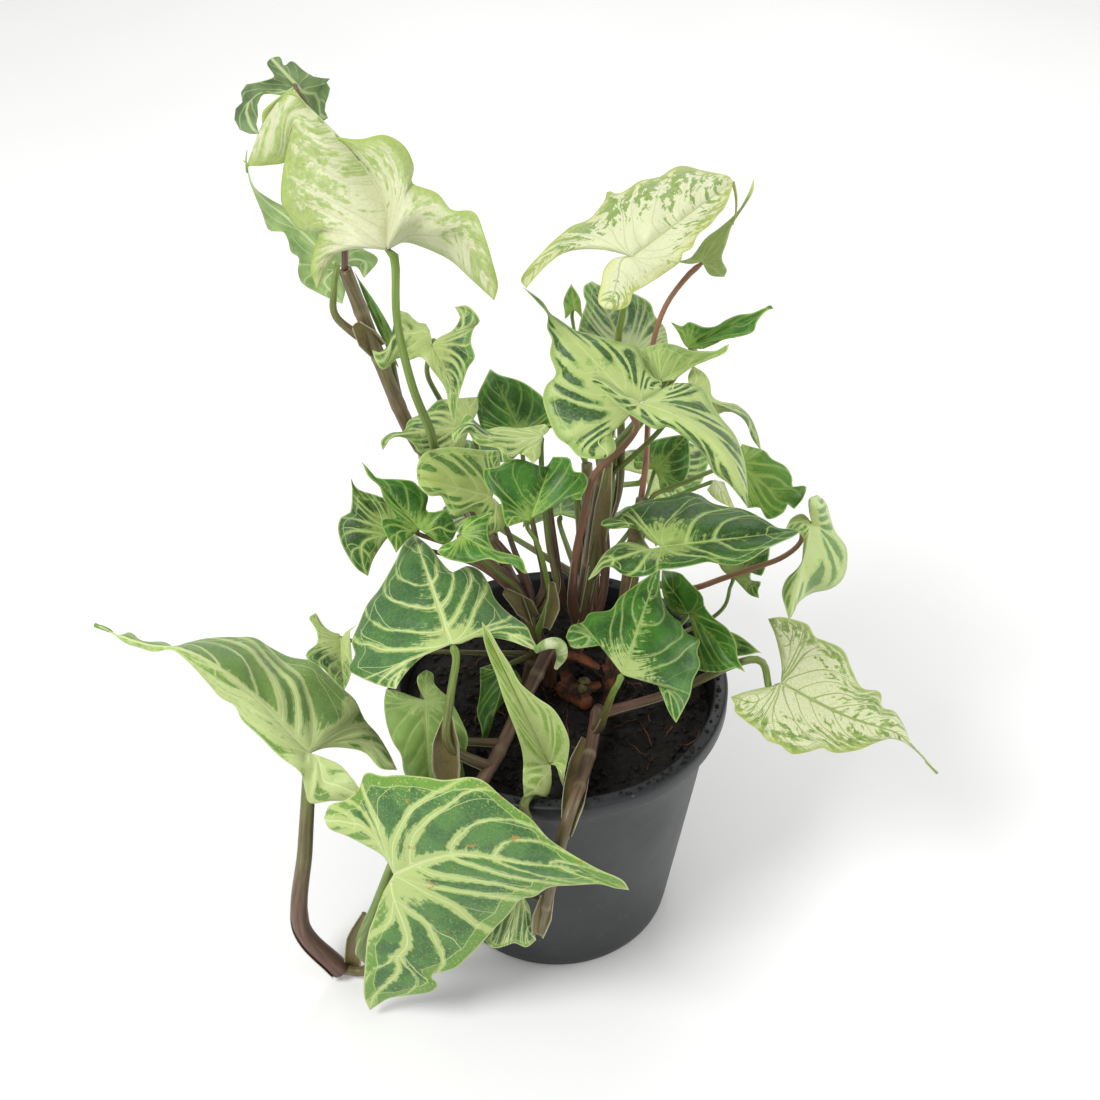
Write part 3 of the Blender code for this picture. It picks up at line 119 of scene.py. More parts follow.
BLADES = (
    # The tall vine at the top left
    Blade("leaf_vine_large", "shoot_vine", 0.35,
          ((442, 462, 13), (430, 430, 6), (412, 385, 4), (397, 320, 4)), (387, 250, 10),
          ((386, 205, 22), (360, 160, 34), (315, 113, 46), (288, 94, 50), (266, 118, 54)),
          (247, 166, 52), (317, 289, 4), (494, 300, -10), 0.0, 0.16, 1.2, "cream"),
    Blade("leaf_vine_top", "shoot_vine", 1.0, ((344, 235, 34), (334, 185, 46), (315, 120, 54)),
          (297, 86, 60), (), (271, 58, 66), (328, 118, 64), (259, 134, 64), 0.0, 0.12, 0.8, "mottled"),
    Blade("leaf_vine_behind", "shoot_vine", 0.86, ((337, 318, 30), (334, 290, 34)),
          (337, 266, 42), ((312, 242, 48), (290, 220, 52), (269, 203, 57), (253, 186, 60)),
          (247, 168, 62), (364, 278, 46), (342, 304, 42), 0.06, 0.12, 1.0, "pale"),
    Blade("leaf_vine_spear", "shoot_vine", 0.72, (),
          (393, 350, 31), (), (354, 271, 33), (386, 346, 31), (399, 346, 33), 0.04, 0.1, 0.3, "green"),
    # The left side, from the top down
    Blade("leaf_left_upper", "shoot_vine", 0.44, ((465, 450, 42), (441, 402, 45), (427, 372, 38)),
          (432, 345, 24), ((442, 364, 19), (451, 385, 14), (454, 407, 9)),
          (455, 428, 4), (455, 307, 26), (372, 350, 18), 0.10, 0.12, 1.3, "mottled"),
    Blade("leaf_left_plain", "shoot_left", 1.0, ((545, 585, 10), (536, 540, 16), (527, 490, 28)),
          (521, 434, 34), (), (490, 369, 58), (482, 432, 30), (556, 424, 36), 0.06, 0.08, 1.0, "green"),
    Blade("leaf_left_folded", "shoot_left", 0.95, ((556, 590, 8), (549, 545, 10), (543, 490, 12)),
          (543, 436, 10), ((520, 439, 5), (500, 438, 1), (484, 436, -2), (472, 426, -5), (463, 430, -6)),
          (455, 444, -8), (533, 464, -4), (545, 424, 16), 0.08, 0.06, 1.0, "veined"),
    Blade("leaf_left_hooked", "shoot_vine", 0.38, ((480, 465, 33),),
          (470, 425, 28), ((447, 429, 25), (425, 432, 21), (405, 434, 18), (392, 437, 16)),
          (383, 450, 15), (462, 455, 20), (477, 397, 38), 0.10, 0.10, 0.8, "mottled"),
    Blade("leaf_left_pale", "shoot_left", 0.95, ((530, 590, 8), (515, 552, 8), (505, 525, 9)),
          (492, 497, 8), (), (417, 477, -2), (487, 535, 0), (499, 450, 20), 0.10, 0.14, 1.3, "pale"),
    Blade("leaf_left_dark", "shoot_left", 0.8, ((549, 600, 0), (546, 575, -4), (538, 545, -8)),
          (531, 520, -12), (), (553, 457, 6), (507, 527, -18), (580, 500, -10), 0.08, 0.10, 1.2, "green"),
    Blade("leaf_left_outer", "shoot_left", 0.9,
          ((516, 596, 8), (482, 568, 11), (450, 556, 15), (410, 545, 16)),
          (392, 532, 16), ((377, 514, 20), (364, 500, 24), (355, 489, 27)),
          (351, 478, 28), (368, 576, 4), (396, 503, 24), 0.06, 0.10, 1.0, "veined"),
    Blade("leaf_left_small", "shoot_left", 0.9, ((520, 588, 6), (490, 562, 8), (460, 548, 9)),
          (419, 529, 6), (), (362, 462, 18), (396, 553, -4), (457, 530, 8), 0.10, 0.12, 0.8, "green"),
    Blade("leaf_left_pointing", "shoot_left", 0.85, ((520, 592, 2), (497, 572, -3)),
          (462, 535, -10), (), (527, 574, -28), (493, 512, -4), (437, 552, -16), 0.08, 0.10, 1.0, "green"),
    Blade("leaf_left_big", "shoot_trailing", 0.42, ((449, 745, -62), (450, 700, -56)),
          (452, 644, -50), (), (414, 534, 16), (396, 689, -62), (540, 652, -50), 0.08, 0.10, 1.6, "veined"),
    Blade("leaf_left_low_small", "shoot_left", 0.65, ((400, 650, 0),),
          (341, 640, -12), (), (344, 691, -28), (357, 625, -10), (316, 613, -8), 0.08, 0.12, 0.8, "mottled"),
    # The trailing shoot at the lower left
    Blade("leaf_trailing_left", "shoot_trailing", 1.0,
          ((301, 925, -54), (305, 850, -48), (308, 795, -40), (309, 770, -41)),
          (309, 753, -46), ((285, 728, -44), (258, 700, -41), (230, 676, -38), (203, 658, -35),
                            (178, 648, -33), (150, 645, -31), (120, 636, -27)),
          (95, 625, -24), (363, 794, -60), (397, 770, -36), 0.06, 0.06, 1.4, "pale"),
    Blade("leaf_trailing_front", "shoot_trailing", 0.93, ((362, 945, -62), (377, 905, -70)),
          (394, 874, -80), ((425, 861, -83), (456, 854, -86), (490, 857, -89), (523, 863, -92),
                            (561, 867, -94), (595, 877, -96)),
          (629, 890, -98), (324, 818, -64), (370, 1010, -76), 0.06, 0.08, 1.8,
          "veined"),
    Blade("leaf_front_low", "shoot_front", 0.9, (),
          (520, 893, -74), (), (505, 946, -82), (536, 940, -78), (484, 938, -78), 0.06, 0.10, 1.2, "veined"),
    # Low leaves in front of the pot's mouth
    Blade("leaf_front_narrow", "shoot_front", 0.74,
          ((541, 842, -77), (526, 815, -72.5), (525, 802, -69), (536, 786, -61)),
          (550, 764, -58), (), (482, 622, -58), (524, 797, -70), (563, 787, -64), 0.04, 0.06, 1.0, "pale"),
    Blade("leaf_front_dull", "shoot_trailing", 0.36, ((436, 735, -47),),
          (425, 700, -52), (), (430, 790, -57), (426, 670, -46), (386, 689, -50), 0.06, 0.08, 1.2, "pale"),
    Blade("leaf_front_dark", "shoot_left", 0.65, (),
          (508, 668, -6), (), (483, 747, -36), (522, 682, -2), (480, 668, -12), 0.08, 0.10, 1.0, "green"),
    Blade("leaf_front_right", "shoot_front", 0.3, ((600, 725, -34), (612, 695, -42)),
          (622, 674, -45), (), (661, 560, 4), (566, 637, -26), (676, 723, -54), 0.08, 0.10, 1.3, "veined"),
    # The right side
    Blade("leaf_right_shaded", "shoot_right", 0.35, ((672, 630, -2),),
          (690, 612, 2), (), (745, 672, -22), (662, 570, 16), (698, 670, -16), 0.08, 0.10, 0.7, "green"),
    Blade("leaf_right_hooked", "shoot_right", 0.25, (),
          (720, 637, 18), (), (762, 653, 14), (713, 625, 22), (708, 648, 14), 0.16, 0.1, 0.5, "green"),
    Blade("leaf_right_small", "shoot_right", 0.3, ((712, 618, 12),),
          (733, 577, 18), (), (770, 545, 28), (718, 563, 24), (759, 598, 8), 0.08, 0.12, 0.8, "green"),
    Blade("leaf_right_large", "shoot_right", 0.85, (),
          (662, 547, -34), (), (801, 531, -30), (601, 525, -12), (588, 580, -52), 0.08, 0.10, 1.6, "veined"),
    Blade("leaf_right_outer", "shoot_right", 0.7,
          ((680, 592, 22), (700, 586, 20), (770, 562, 12), (798, 548, 19)),
          (812, 524, 4), (), (789, 620, -24), (817, 495, 14), (786, 528, 0), 0.10, 0.10, 0.7, "mottled"),
    Blade("leaf_right_cream", "shoot_front", 0.26, ((668, 694, -14), (735, 664, -16), (762, 662, -17)),
          (781, 683, -20), ((820, 704, -27), (850, 718, -32), (878, 727, -37), (898, 734, -40),
                            (914, 748, -43)),
          (937, 773, -46), (768, 619, 12), (731, 697, -34), 0.06, 0.08, 1.8, "cream"),
    Blade("leaf_right_upper", "shoot_right", 1.0, ((690, 480, 10),),
          (738, 464, 12), (), (794, 509, 0), (742, 444, 20), (748, 508, 4), 0.08, 0.12, 1.1, "green"),
    Blade("leaf_right_curled", "shoot_centre", 0.9, ((660, 430, 14),),
          (690, 390, 8), ((706, 399, 5), (722, 407, 3), (736, 410, 0), (746, 417, -2), (752, 430, -4)),
          (761, 450, -6), (693, 366, 16), (714, 418, 0), 0.16, 0.12, 0.6, "mottled"),
    Blade("leaf_right_inner_pale", "shoot_right", 0.95, (),
          (714, 480, 4), (), (735, 509, -6), (724, 482, 8), (707, 490, 2), 0.06, 0.08, 0.6, "cream"),
    Blade("leaf_right_inner_dark", "shoot_right", 0.9, (),
          (655, 470, 28), (), (690, 432, 40), (634, 458, 34), (674, 492, 22), 0.08, 0.10, 0.8, "green"),
    # The middle and the top
    Blade("leaf_middle_variegated", "shoot_centre", 1.0, (),
          (636, 405, -12), (), (523, 287, 34), (606, 458, -30), (661, 388, 0), 0.08, 0.08, 1.5, "mottled"),
    Blade("leaf_middle_drooping", "shoot_centre", 0.35,
          ((572, 600, 9), (575, 560, 5), (583, 520, 3), (592, 480, 0), (606, 462, -2), (624, 446, -7),
           (637, 426, -17)),
          (641, 404, -22), ((665, 411, -28), (690, 424, -35), (712, 440, -42), (729, 461, -48),
                            (741, 485, -53)),
          (748, 508, -56), (675, 383, -10), (588, 379, -18), 0.12, 0.12, 1.5, "mottled"),
    Blade("leaf_middle_cup", "shoot_centre", 0.95, (),
          (661, 382, 14), (), (729, 344, 6), (639, 350, 22), (674, 380, 10), -0.04, 0.06, 0.6, "pale"),
    Blade("leaf_top_right_green", "shoot_centre", 0.93, (),
          (688, 348, 28), (), (772, 307, 24), (671, 322, 36), (703, 349, 22), 0.06, 0.10, 1.1, "green"),
    Blade("leaf_top_behind", "shoot_centre", 0.92, (),
          (626, 356, 34), (), (592, 281, 58), (574, 346, 32), (668, 343, 38), 0.06, 0.10, 1.3, "veined"),
    Blade("leaf_top_cream", "shoot_centre", 0.6,
          ((616, 500, 20), (621, 450, 20), (620, 400, 22), (618, 345, 20), (624, 305, 12)),
          (632, 257, 6), (), (733, 182, 42), (526, 288, -2), (605, 309, -18), 0.10, 0.12, 1.7, "cream"),
    Blade("leaf_top_narrow", "shoot_right", 1.0,
          ((646, 460, 18), (648, 420, 29), (650, 370, 31), (660, 318, 31), (686, 277, 36)),
          (702, 262, 34), ((709, 252, 36), (717, 240, 39), (728, 226, 42), (740, 210, 46), (750, 193, 50)),
          (754, 178, 54), (677, 262, 36), (724, 277, 26), 0.04, 0.08, 0.6, "pale"),
    Blade("leaf_top_small", "shoot_centre", 0.9, (),
          (574, 310, 50), (), (571, 283, 58), (565, 319, 47), (583, 321, 47), 0.04, 0.08, 0.3, "green"),
    # The back, which the photo doesn't show
    Blade("leaf_back_middle", "shoot_back", 1.0, (),
          Place(5, 66, 208), (), Place(9, 112, 188), Place(-16, 58, 206), Place(24, 56, 207),
          0.10, 0.12, 1.4, "veined"),
    Blade("leaf_back_left", "shoot_back", 0.9, (),
          Place(-34, 60, 190), (), Place(-58, 98, 170), Place(-45, 46, 188), Place(-17, 65, 192),
          0.12, 0.12, 1.4, "green"),
    Blade("leaf_back_right", "shoot_back", 0.9, (),
          Place(36, 62, 184), (), Place(66, 98, 166), Place(19, 70, 186), Place(45, 46, 182),
          0.12, 0.12, 1.4, "mottled"),
    Blade("leaf_back_low_left", "shoot_back", 0.5, (),
          Place(-30, 82, 148), (), Place(-48, 114, 120), Place(-41, 68, 148), Place(-14, 83, 150),
          0.14, 0.12, 1.2, "veined"),
    Blade("leaf_back_low_right", "shoot_back", 0.5, (),
          Place(34, 82, 142), (), Place(50, 114, 116), Place(18, 85, 144), Place(43, 67, 142),
          0.14, 0.12, 1.2, "green"),
    Blade("leaf_back_low_middle", "shoot_back", 0.4, (),
          Place(2, 88, 142), (), Place(2, 126, 118), Place(-15, 80, 142), Place(19, 80, 142),
          0.16, 0.12, 1.2, "green"),
)

SHEATHS = (
    Sheath("boat", "shoot_trailing", ((450, 792, -67), (446, 765, -66), (446, 740, -63), (448, 716, -59)),
           (3.5, 5.4, 5.0, 1.6)),
    Sheath("over_rim", "shoot_front", ((587, 737, -33), (581, 760, -45), (576, 785, -59), (572, 808, -73),
                                       (566, 836, -80)), (2.0, 4.4, 4.6, 4.2, 2.2)),
    Sheath("elbow", "shoot_trailing", ((352, 971, -55), (355, 940, -57), (364, 914, -60)), (3.6, 3.6, 1.0)),
    Sheath("hanging", "shoot_front", ((547, 898, -82), (542, 918, -82), (537, 938, -81)), (2.6, 3.8, 2.4)),
    Sheath("crown_left", "shoot_left", ((538, 624, 5), (525, 608, 0), (506, 592, -3)), (2.0, 4.2, 1.6)),
    Sheath("crown_front", "shoot_left", ((546, 630, 2), (553, 606, -2), (552, 584, -4)), (1.6, 2.8, 1.2)),
    Sheath("crown_centre", "shoot_centre", ((592, 580, 14), (599, 535, 10), (605, 495, 9), (609, 463, 10)),
           (2.0, 3.2, 3.2, 1.2)),
    Sheath("vine", "shoot_vine", ((380, 352, 25), (367, 338, 22), (357, 326, 20)), (3.8, 4.2, 2.0)),
)

# Old stalks packed in the crown, whose ends the photo hides
OLD_STALKS = (
    OldStalk("low_left", "shoot_left", ((532, 625, 6), (512, 592, 9), (488, 567, 11), (474, 557, 12)), 1.9),
    OldStalk("left", "shoot_left", ((533, 620, 6), (525, 578, 8), (502, 548, 7), (492, 537, 6)), 1.9),
    OldStalk("middle", "shoot_centre", ((580, 625, 18), (563, 596, 14), (554, 545, 14), (547, 490, 17)), 2.0),
    OldStalk("right", "shoot_centre", ((582, 640, 19), (600, 605, 14), (606, 560, 12), (604, 515, 13)), 2.2),
)

# Photo pixels along each leaf's margin: left side from the tip to the lobe, from the left lobe to the
# stalk, and the same for the right side. A third number is a depth, where the leaf folds over.
MARGINS = {
    "leaf_vine_large": (
        ((268, 165, 50), (287, 160, 47), (291, 133, 44), (284, 165, 38), (281, 198, 30), (287, 213, 27),
         (300, 230, 23), (318, 232, 20), (314, 250, 14), (311, 270, 8)),
        ((325, 272), (335, 258), (343, 250), (356, 248), (372, 248)),
        ((256, 154, 53), (264, 142, 54), (262, 118, 54), (266, 108, 52), (292, 90, 50), (303, 103, 47),
         (325, 133, 42), (345, 138, 38), (362, 139, 35), (385, 135, 32), (405, 147, 29), (414, 168, 24),
         (412, 183, 20), (437, 193, 14), (452, 210, 9), (474, 212, 6), (485, 237, -2), (492, 260, -6),
         (498, 285, -9)),
        ((470, 278), (450, 260), (425, 248), (405, 242), (394, 246))),
    "leaf_vine_top": (
        ((280, 57, 65), (284, 66, 64), (292, 61, 64), (303, 70, 64), (315, 77, 64), (332, 79, 64),
         (326, 82, 64), (330, 88, 64), (327, 100, 64), (324, 108, 64)),
        ((316, 124, 64), (310, 112, 63), (302, 97, 61)),
        ((267, 64), (274, 75), (270, 79), (255, 83), (245, 85), (241, 92), (244, 100), (236, 108), (234, 118),
         (240, 130), (251, 134)),
        ((256, 126), (258, 117), (257, 106), (262, 95), (270, 91), (282, 96), (291, 92))),
    "leaf_vine_behind": (
        ((253, 186), (270, 199), (287, 208), (312, 224), (340, 240), (365, 250), (378, 260)),
        ((357, 267), (347, 267)),
        ((250, 182), (256, 198), (262, 212), (269, 230), (282, 231), (288, 240), (291, 252), (299, 258),
         (298, 272), (303, 284), (320, 294)),
        ((345, 290), (340, 278))),
    "leaf_left_upper": (
        ((458, 400), (464, 380), (468, 368), (475, 357), (471, 342), (474, 328), (480, 320), (468, 306)),
        ((460, 318), (452, 331), (440, 337)),
        ((449, 408), (445, 388), (432, 370), (421, 357), (410, 360), (398, 358), (384, 370), (376, 362)),
        ((382, 352), (393, 338), (396, 313), (408, 313), (416, 322), (425, 323), (430, 333))),
    "leaf_left_plain": (
        ((484, 381), (478, 394), (476, 408)), ((495, 436), (510, 437)),
        ((500, 375), (518, 380), (532, 388), (547, 402)), ((544, 432), (532, 436))),
    "leaf_left_folded": (
        ((458, 437), (468, 432), (477, 444), (499, 449), (503, 462), (510, 462), (514, 455), (524, 455)),
        ((540, 456), (541, 446)),
        ((452, 434), (460, 424), (466, 414), (473, 419), (481, 430), (500, 427), (522, 428)),
        ((549, 430),)),
    "leaf_left_hooked": (
        ((386, 442), (395, 437), (405, 438), (414, 445), (420, 453), (440, 459)), ((466, 440),),
        ((381, 441), (391, 433), (404, 431), (409, 420), (425, 412), (437, 401), (450, 399), (463, 398)),
        ((478, 410),)),
    "leaf_left_pale": (
        ((420, 488), (430, 496), (441, 496), (446, 506), (455, 516), (474, 512)),
        ((503, 529), (505, 515), (499, 504)),
        ((417, 466), (422, 455), (432, 450), (448, 447), (465, 448), (482, 450)),
        ((500, 465), (497, 482))),
    "leaf_left_dark": (
        ((545, 468), (532, 463), (518, 459), (506, 461), (497, 467), (483, 470), (488, 488), (500, 500),
         (503, 515)),
        ((519, 523),),
        ((562, 457), (570, 459), (574, 471), (584, 473), (588, 483)), ((565, 499), (550, 500), (538, 508))),
    "leaf_left_outer": (
        ((352, 492), (350, 512), (341, 517), (338, 529), (342, 545), (350, 560), (358, 570)),
        ((373, 560), (382, 545)),
        ((355, 486), (362, 491), (373, 494), (384, 498)), ((396, 518),)),
    "leaf_left_small": (
        ((368, 476), (379, 486), (384, 500), (392, 510), (394, 518), (381, 520), (385, 533), (392, 545)),
        ((404, 543), (413, 535)),
        ((366, 470), (378, 478), (395, 479), (412, 481), (420, 488), (428, 496), (426, 510), (434, 512),
         (447, 511)),
        ((451, 541), (440, 543), (429, 536))),
    "leaf_left_pointing": (
        ((521, 558), (505, 553), (494, 549), (488, 535), (489, 520)), ((480, 515), (465, 519)),
        ((522, 572), (514, 565), (500, 563), (488, 559), (470, 563), (455, 561), (445, 558)),
        ((443, 545), (453, 541))),
    "leaf_left_big": (
        ((403, 545), (396, 560), (380, 588), (367, 605), (358, 626), (352, 641), (355, 655), (349, 667),
         (352, 673), (370, 682), (386, 687)),
        ((402, 678), (415, 663), (432, 650), (443, 645)),
        ((430, 547), (440, 560), (450, 571), (458, 572), (467, 566), (480, 571), (489, 585), (495, 599),
         (507, 612), (518, 620), (527, 627), (533, 640)),
        ((526, 647), (510, 641), (490, 637), (472, 638), (461, 643))),
    "leaf_left_low_small": (
        ((350, 678), (352, 662), (351, 645), (350, 632)), ((346, 632),),
        ((335, 682), (322, 668), (307, 659), (307, 652), (317, 643), (316, 630), (309, 618)),
        ((323, 625), (332, 632), (339, 634))),
    "leaf_trailing_left": (
        ((110, 632, -26), (125, 643, -28), (140, 648, -30), (155, 652, -32), (172, 650, -33),
         (188, 662, -35), (205, 680, -38), (220, 697, -41), (235, 706, -43), (242, 720, -45),
         (260, 737, -48), (280, 757, -51), (300, 772, -54), (305, 790, -56), (310, 803, -58),
         (330, 801, -59), (350, 800, -60)),
        ((352, 778, -56), (340, 765, -51), (325, 758, -48)),
        ((105, 626), (118, 636), (130, 632), (140, 640), (150, 642), (165, 642), (174, 647), (190, 642),
         (210, 638), (235, 637), (255, 638), (270, 647), (290, 657), (312, 661), (325, 672), (342, 688),
         (355, 700), (365, 720), (378, 735), (390, 755)),
        ((380, 768), (365, 753), (345, 748), (325, 748))),
    "leaf_trailing_front": (
        ((622, 880, -98), (600, 870, -97), (585, 862, -96), (565, 850, -94), (548, 838, -92), (530, 818, -89),
         (515, 807, -87), (500, 795, -85), (485, 782, -83), (470, 777, -81), (445, 780, -79), (425, 777, -77),
         (400, 775, -74), (382, 776, -71), (366, 773, -68), (358, 790, -66), (345, 800, -65),
         (330, 805, -64)),
        ((330, 829), (345, 835), (365, 845), (382, 855), (390, 865)),
        ((615, 888), (600, 884), (575, 885), (550, 887), (535, 896), (520, 900), (508, 915), (495, 928),
         (480, 945), (470, 955), (455, 968), (432, 975), (438, 985), (430, 992), (410, 995), (390, 998),
         (376, 1006)),
        ((364, 995), (365, 965), (368, 935), (375, 915), (383, 893))),
    "leaf_front_low": (
        ((515, 943), (526, 947)), ((532, 925), (529, 906)),
        ((497, 948), (490, 946)), ((491, 920), (504, 903))),
    "leaf_front_narrow": (
        ((484, 640), (489, 657), (496, 675), (503, 697), (510, 716), (518, 737), (523, 757), (523, 778)),
        ((536, 795), (547, 797), (551, 785), (551, 774)),
        ((490, 632), (499, 648), (510, 665), (520, 683), (536, 697), (552, 708), (562, 722), (569, 740),
         (568, 757), (565, 772)),
        ((559, 775), (556, 766))),
    "leaf_front_dull": (
        ((453, 782, -57), (464, 777, -56), (463, 762, -55), (468, 740, -53), (462, 722, -51), (450, 700, -49),
         (440, 690, -48), (434, 683, -47), (433, 674, -46)),
        ((418, 676), (418, 686)),
        ((412, 782), (404, 772), (401, 755), (393, 742), (387, 725), (384, 705)), ((398, 691), (412, 696))),
    "leaf_front_dark": (
        ((490, 730), (496, 712), (508, 698)), ((517, 672),),
        ((481, 728), (477, 712), (480, 692)), ((495, 664),)),
    "leaf_front_right": (
        ((652, 573), (636, 585), (620, 597), (610, 610), (590, 613), (583, 622), (571, 626)),
        ((573, 648), (590, 647), (603, 646), (613, 656)),
        ((660, 575), (660, 590), (665, 607), (673, 617), (680, 622), (685, 632), (695, 637), (700, 641),
         (697, 652), (700, 665), (693, 680), (690, 695), (683, 710)),
        ((668, 710), (660, 690), (652, 676), (640, 672), (630, 676))),
    "leaf_right_shaded": (
        ((738, 658), (736, 643), (727, 628), (714, 618), (705, 607), (702, 595), (690, 583), (680, 573)),
        ((662, 590), (668, 607), (678, 616)),
        ((735, 668), (722, 672), (708, 672)), ((697, 652), (699, 638), (692, 625))),
    "leaf_right_small": (
        ((750, 548), (732, 555)), ((724, 572),),
        ((769, 556), (766, 566), (761, 576), (752, 571), (751, 580), (761, 582), (758, 590)),
        ((750, 595), (742, 587))),
    "leaf_right_large": (
        ((790, 529), (778, 528), (765, 520), (750, 512), (738, 508), (728, 507), (712, 503), (700, 495),
         (685, 492), (675, 496), (655, 499), (640, 502), (625, 510), (615, 517), (604, 520)),
        ((612, 529), (630, 528), (642, 532), (653, 541)),
        ((793, 537), (775, 545), (765, 550), (750, 560), (735, 565), (720, 564), (708, 562), (690, 566),
         (672, 569), (660, 570), (650, 575), (635, 577), (622, 574), (612, 567), (603, 568), (596, 575)),
        ((595, 568), (605, 553), (620, 543), (635, 543), (650, 549))),
    "leaf_right_outer": (
        ((794, 612), (799, 602), (812, 593), (830, 589), (842, 580), (847, 565), (846, 547), (836, 533),
         (831, 520), (826, 503)),
        ((809, 499), (809, 511)),
        ((786, 610), (782, 592), (788, 577), (800, 568), (803, 550), (802, 536)),
        ((792, 518), (803, 514))),
    "leaf_right_cream": (
        ((925, 758), (910, 742), (905, 728), (895, 712), (882, 707), (880, 692), (862, 688), (852, 670),
         (843, 650), (825, 641), (815, 637), (808, 625), (795, 620), (780, 617)),
        ((775, 635), (780, 655), (782, 670)),
        ((912, 747), (893, 738), (875, 743), (858, 750), (835, 753), (822, 748), (808, 752), (792, 754),
         (780, 745), (768, 741), (758, 730), (747, 722), (735, 712), (735, 705)),
        ((745, 692), (762, 688), (773, 686))),
    "leaf_right_upper": (
        ((803, 498), (806, 486), (793, 487), (792, 477), (785, 466), (772, 459), (765, 451), (752, 447)),
        ((738, 453),),
        ((789, 502), (783, 513), (768, 519), (760, 508)), ((742, 492), (738, 477))),
    "leaf_right_curled": (
        ((758, 435), (752, 420), (745, 411), (735, 404), (722, 402), (712, 396), (710, 383), (704, 373)),
        ((688, 377),),
        ((752, 438), (749, 428), (748, 418), (737, 413), (724, 412)), ((709, 406), (700, 398))),
    "leaf_right_inner_pale": (
        ((729, 495),), (), ((726, 505), (715, 499)), ()),
    "leaf_middle_variegated": (
        ((540, 303), (548, 315), (547, 328), (552, 340), (550, 355), (556, 374), (546, 386), (543, 400),
         (549, 420), (557, 437), (568, 445), (578, 456), (592, 459)),
        ((616, 448), (612, 432), (622, 424), (630, 415)),
        ((542, 301), (550, 313), (560, 320), (575, 330), (590, 334), (612, 340), (634, 345), (640, 352),
         (645, 366), (654, 378), (661, 381)),
        ((652, 396),)),
    "leaf_middle_drooping": (
        ((747, 485), (744, 460), (736, 437), (723, 420), (714, 408), (706, 392), (695, 384)),
        ((660, 390), (650, 397)),
        ((740, 497), (728, 483), (714, 473), (706, 458), (697, 447), (683, 436), (668, 427), (655, 429),
         (640, 421), (620, 407), (605, 393)),
        ((597, 376), (610, 382), (626, 394))),
    "leaf_middle_cup": (
        ((720, 350), (705, 351), (690, 350), (676, 345), (662, 343), (650, 346)), ((643, 365), (652, 377)),
        ((726, 352), (714, 358), (700, 363), (688, 370)), ()),
    "leaf_top_right_green": (
        ((764, 308), (752, 313), (738, 315), (726, 320), (716, 326), (704, 327), (690, 322), (682, 326)),
        ((678, 332), (683, 342)),
        ((764, 313), (757, 322), (753, 332), (738, 337), (725, 339), (715, 344)), ()),
    "leaf_top_behind": (
        ((584, 286), (584, 296), (586, 303), (581, 318), (578, 332)), ((590, 352), (608, 356)),
        ((600, 285), (618, 288), (635, 294), (650, 303), (655, 316), (665, 328)), ((655, 351), (641, 356))),
    "leaf_top_cream": (
        ((728, 176), (715, 173), (700, 170), (690, 167), (680, 166), (670, 170), (660, 177), (640, 181),
         (630, 188), (618, 194), (608, 191), (605, 200), (598, 210), (588, 220), (572, 226), (563, 233),
         (550, 244), (540, 255), (528, 268), (521, 280)),
        ((533, 280), (545, 267), (560, 255), (575, 250), (595, 249), (612, 251), (624, 254)),
        ((731, 192), (725, 207), (718, 215), (710, 225), (698, 235), (692, 248), (683, 253), (680, 262),
         (665, 273), (650, 283), (638, 290), (633, 293), (629, 305), (618, 310)),
        ((598, 301), (601, 285), (604, 270), (612, 260), (623, 257))),
    "leaf_top_narrow": (
        ((748, 194), (738, 211), (722, 226), (706, 238), (697, 250), (690, 258)), ((690, 264),),
        ((753, 192), (742, 210), (732, 226), (727, 242), (722, 258), (727, 270)), ((710, 275),)),
}

# Steps between two of the points that a smooth curve runs through
CURVE_STEPS = 12

# Fine blades
BLADE_THICKNESS = 0.5
CELL = 1.15
RIB_STEPS_RANGE = 15, 80
ACROSS_STEPS_RANGE = 7, 34
LOBE_TO_RIB = 0.6
WAVES_ROUND = 2.5
MARGIN_STEPS = 60
SPLIT_BETWEEN = 15, 49
LEAST_FACING = 0.45
RUFFLES_ROUND = 9
RUFFLE = 0.3
QUILT = 0.8

# Side veins: how far along the blade the first one has come at the margin, how much further the later ones
# do, how they curve, the veins that spread from the stalk's end to each shoulder, and those of a lobe
FIRST_REACH = 0.38
LATER_REACH = 0.6
VEIN_CURVE = 1.55
SHOULDER_REACH = 0.3
SHOULDER_VEINS = 1.5
LOBE_VEINS = 2.6
LOBE_VEIN = 0.46
VEIN_SPACING = 26
VEIN_COUNT_RANGE = 2.8, 5.2
VEIN_GAP_RANGE = 0.6, 30
HALVINGS = 22

# Stalks, stems and sheaths
STALK_SIDES = 12
STALK_STEPS = 36
STEM_SIDES = 18
STEM_STEP_LENGTH = 2.5
RING_GAP = 21
RING_SWELL = 0.13
RING_SWELL_REACH = 1.6
RING_MARK_REACH = 0.7
TROUGH_SIDES = 9
TROUGH_STEPS = 22
TROUGH_THICKNESS = 0.45
TROUGH_TURN = 1.35
TROUGH_DEPTH = 0.75
SHEATH_SHARE = 0.42
SHEATH_WIDTH = 1.75
SHORT_STALK = 25

# What a tail or a curl has for its distances to the veins and to the stalk, in mm, as it has none of them
NO_VEIN = 9.0
FAR = 99.0

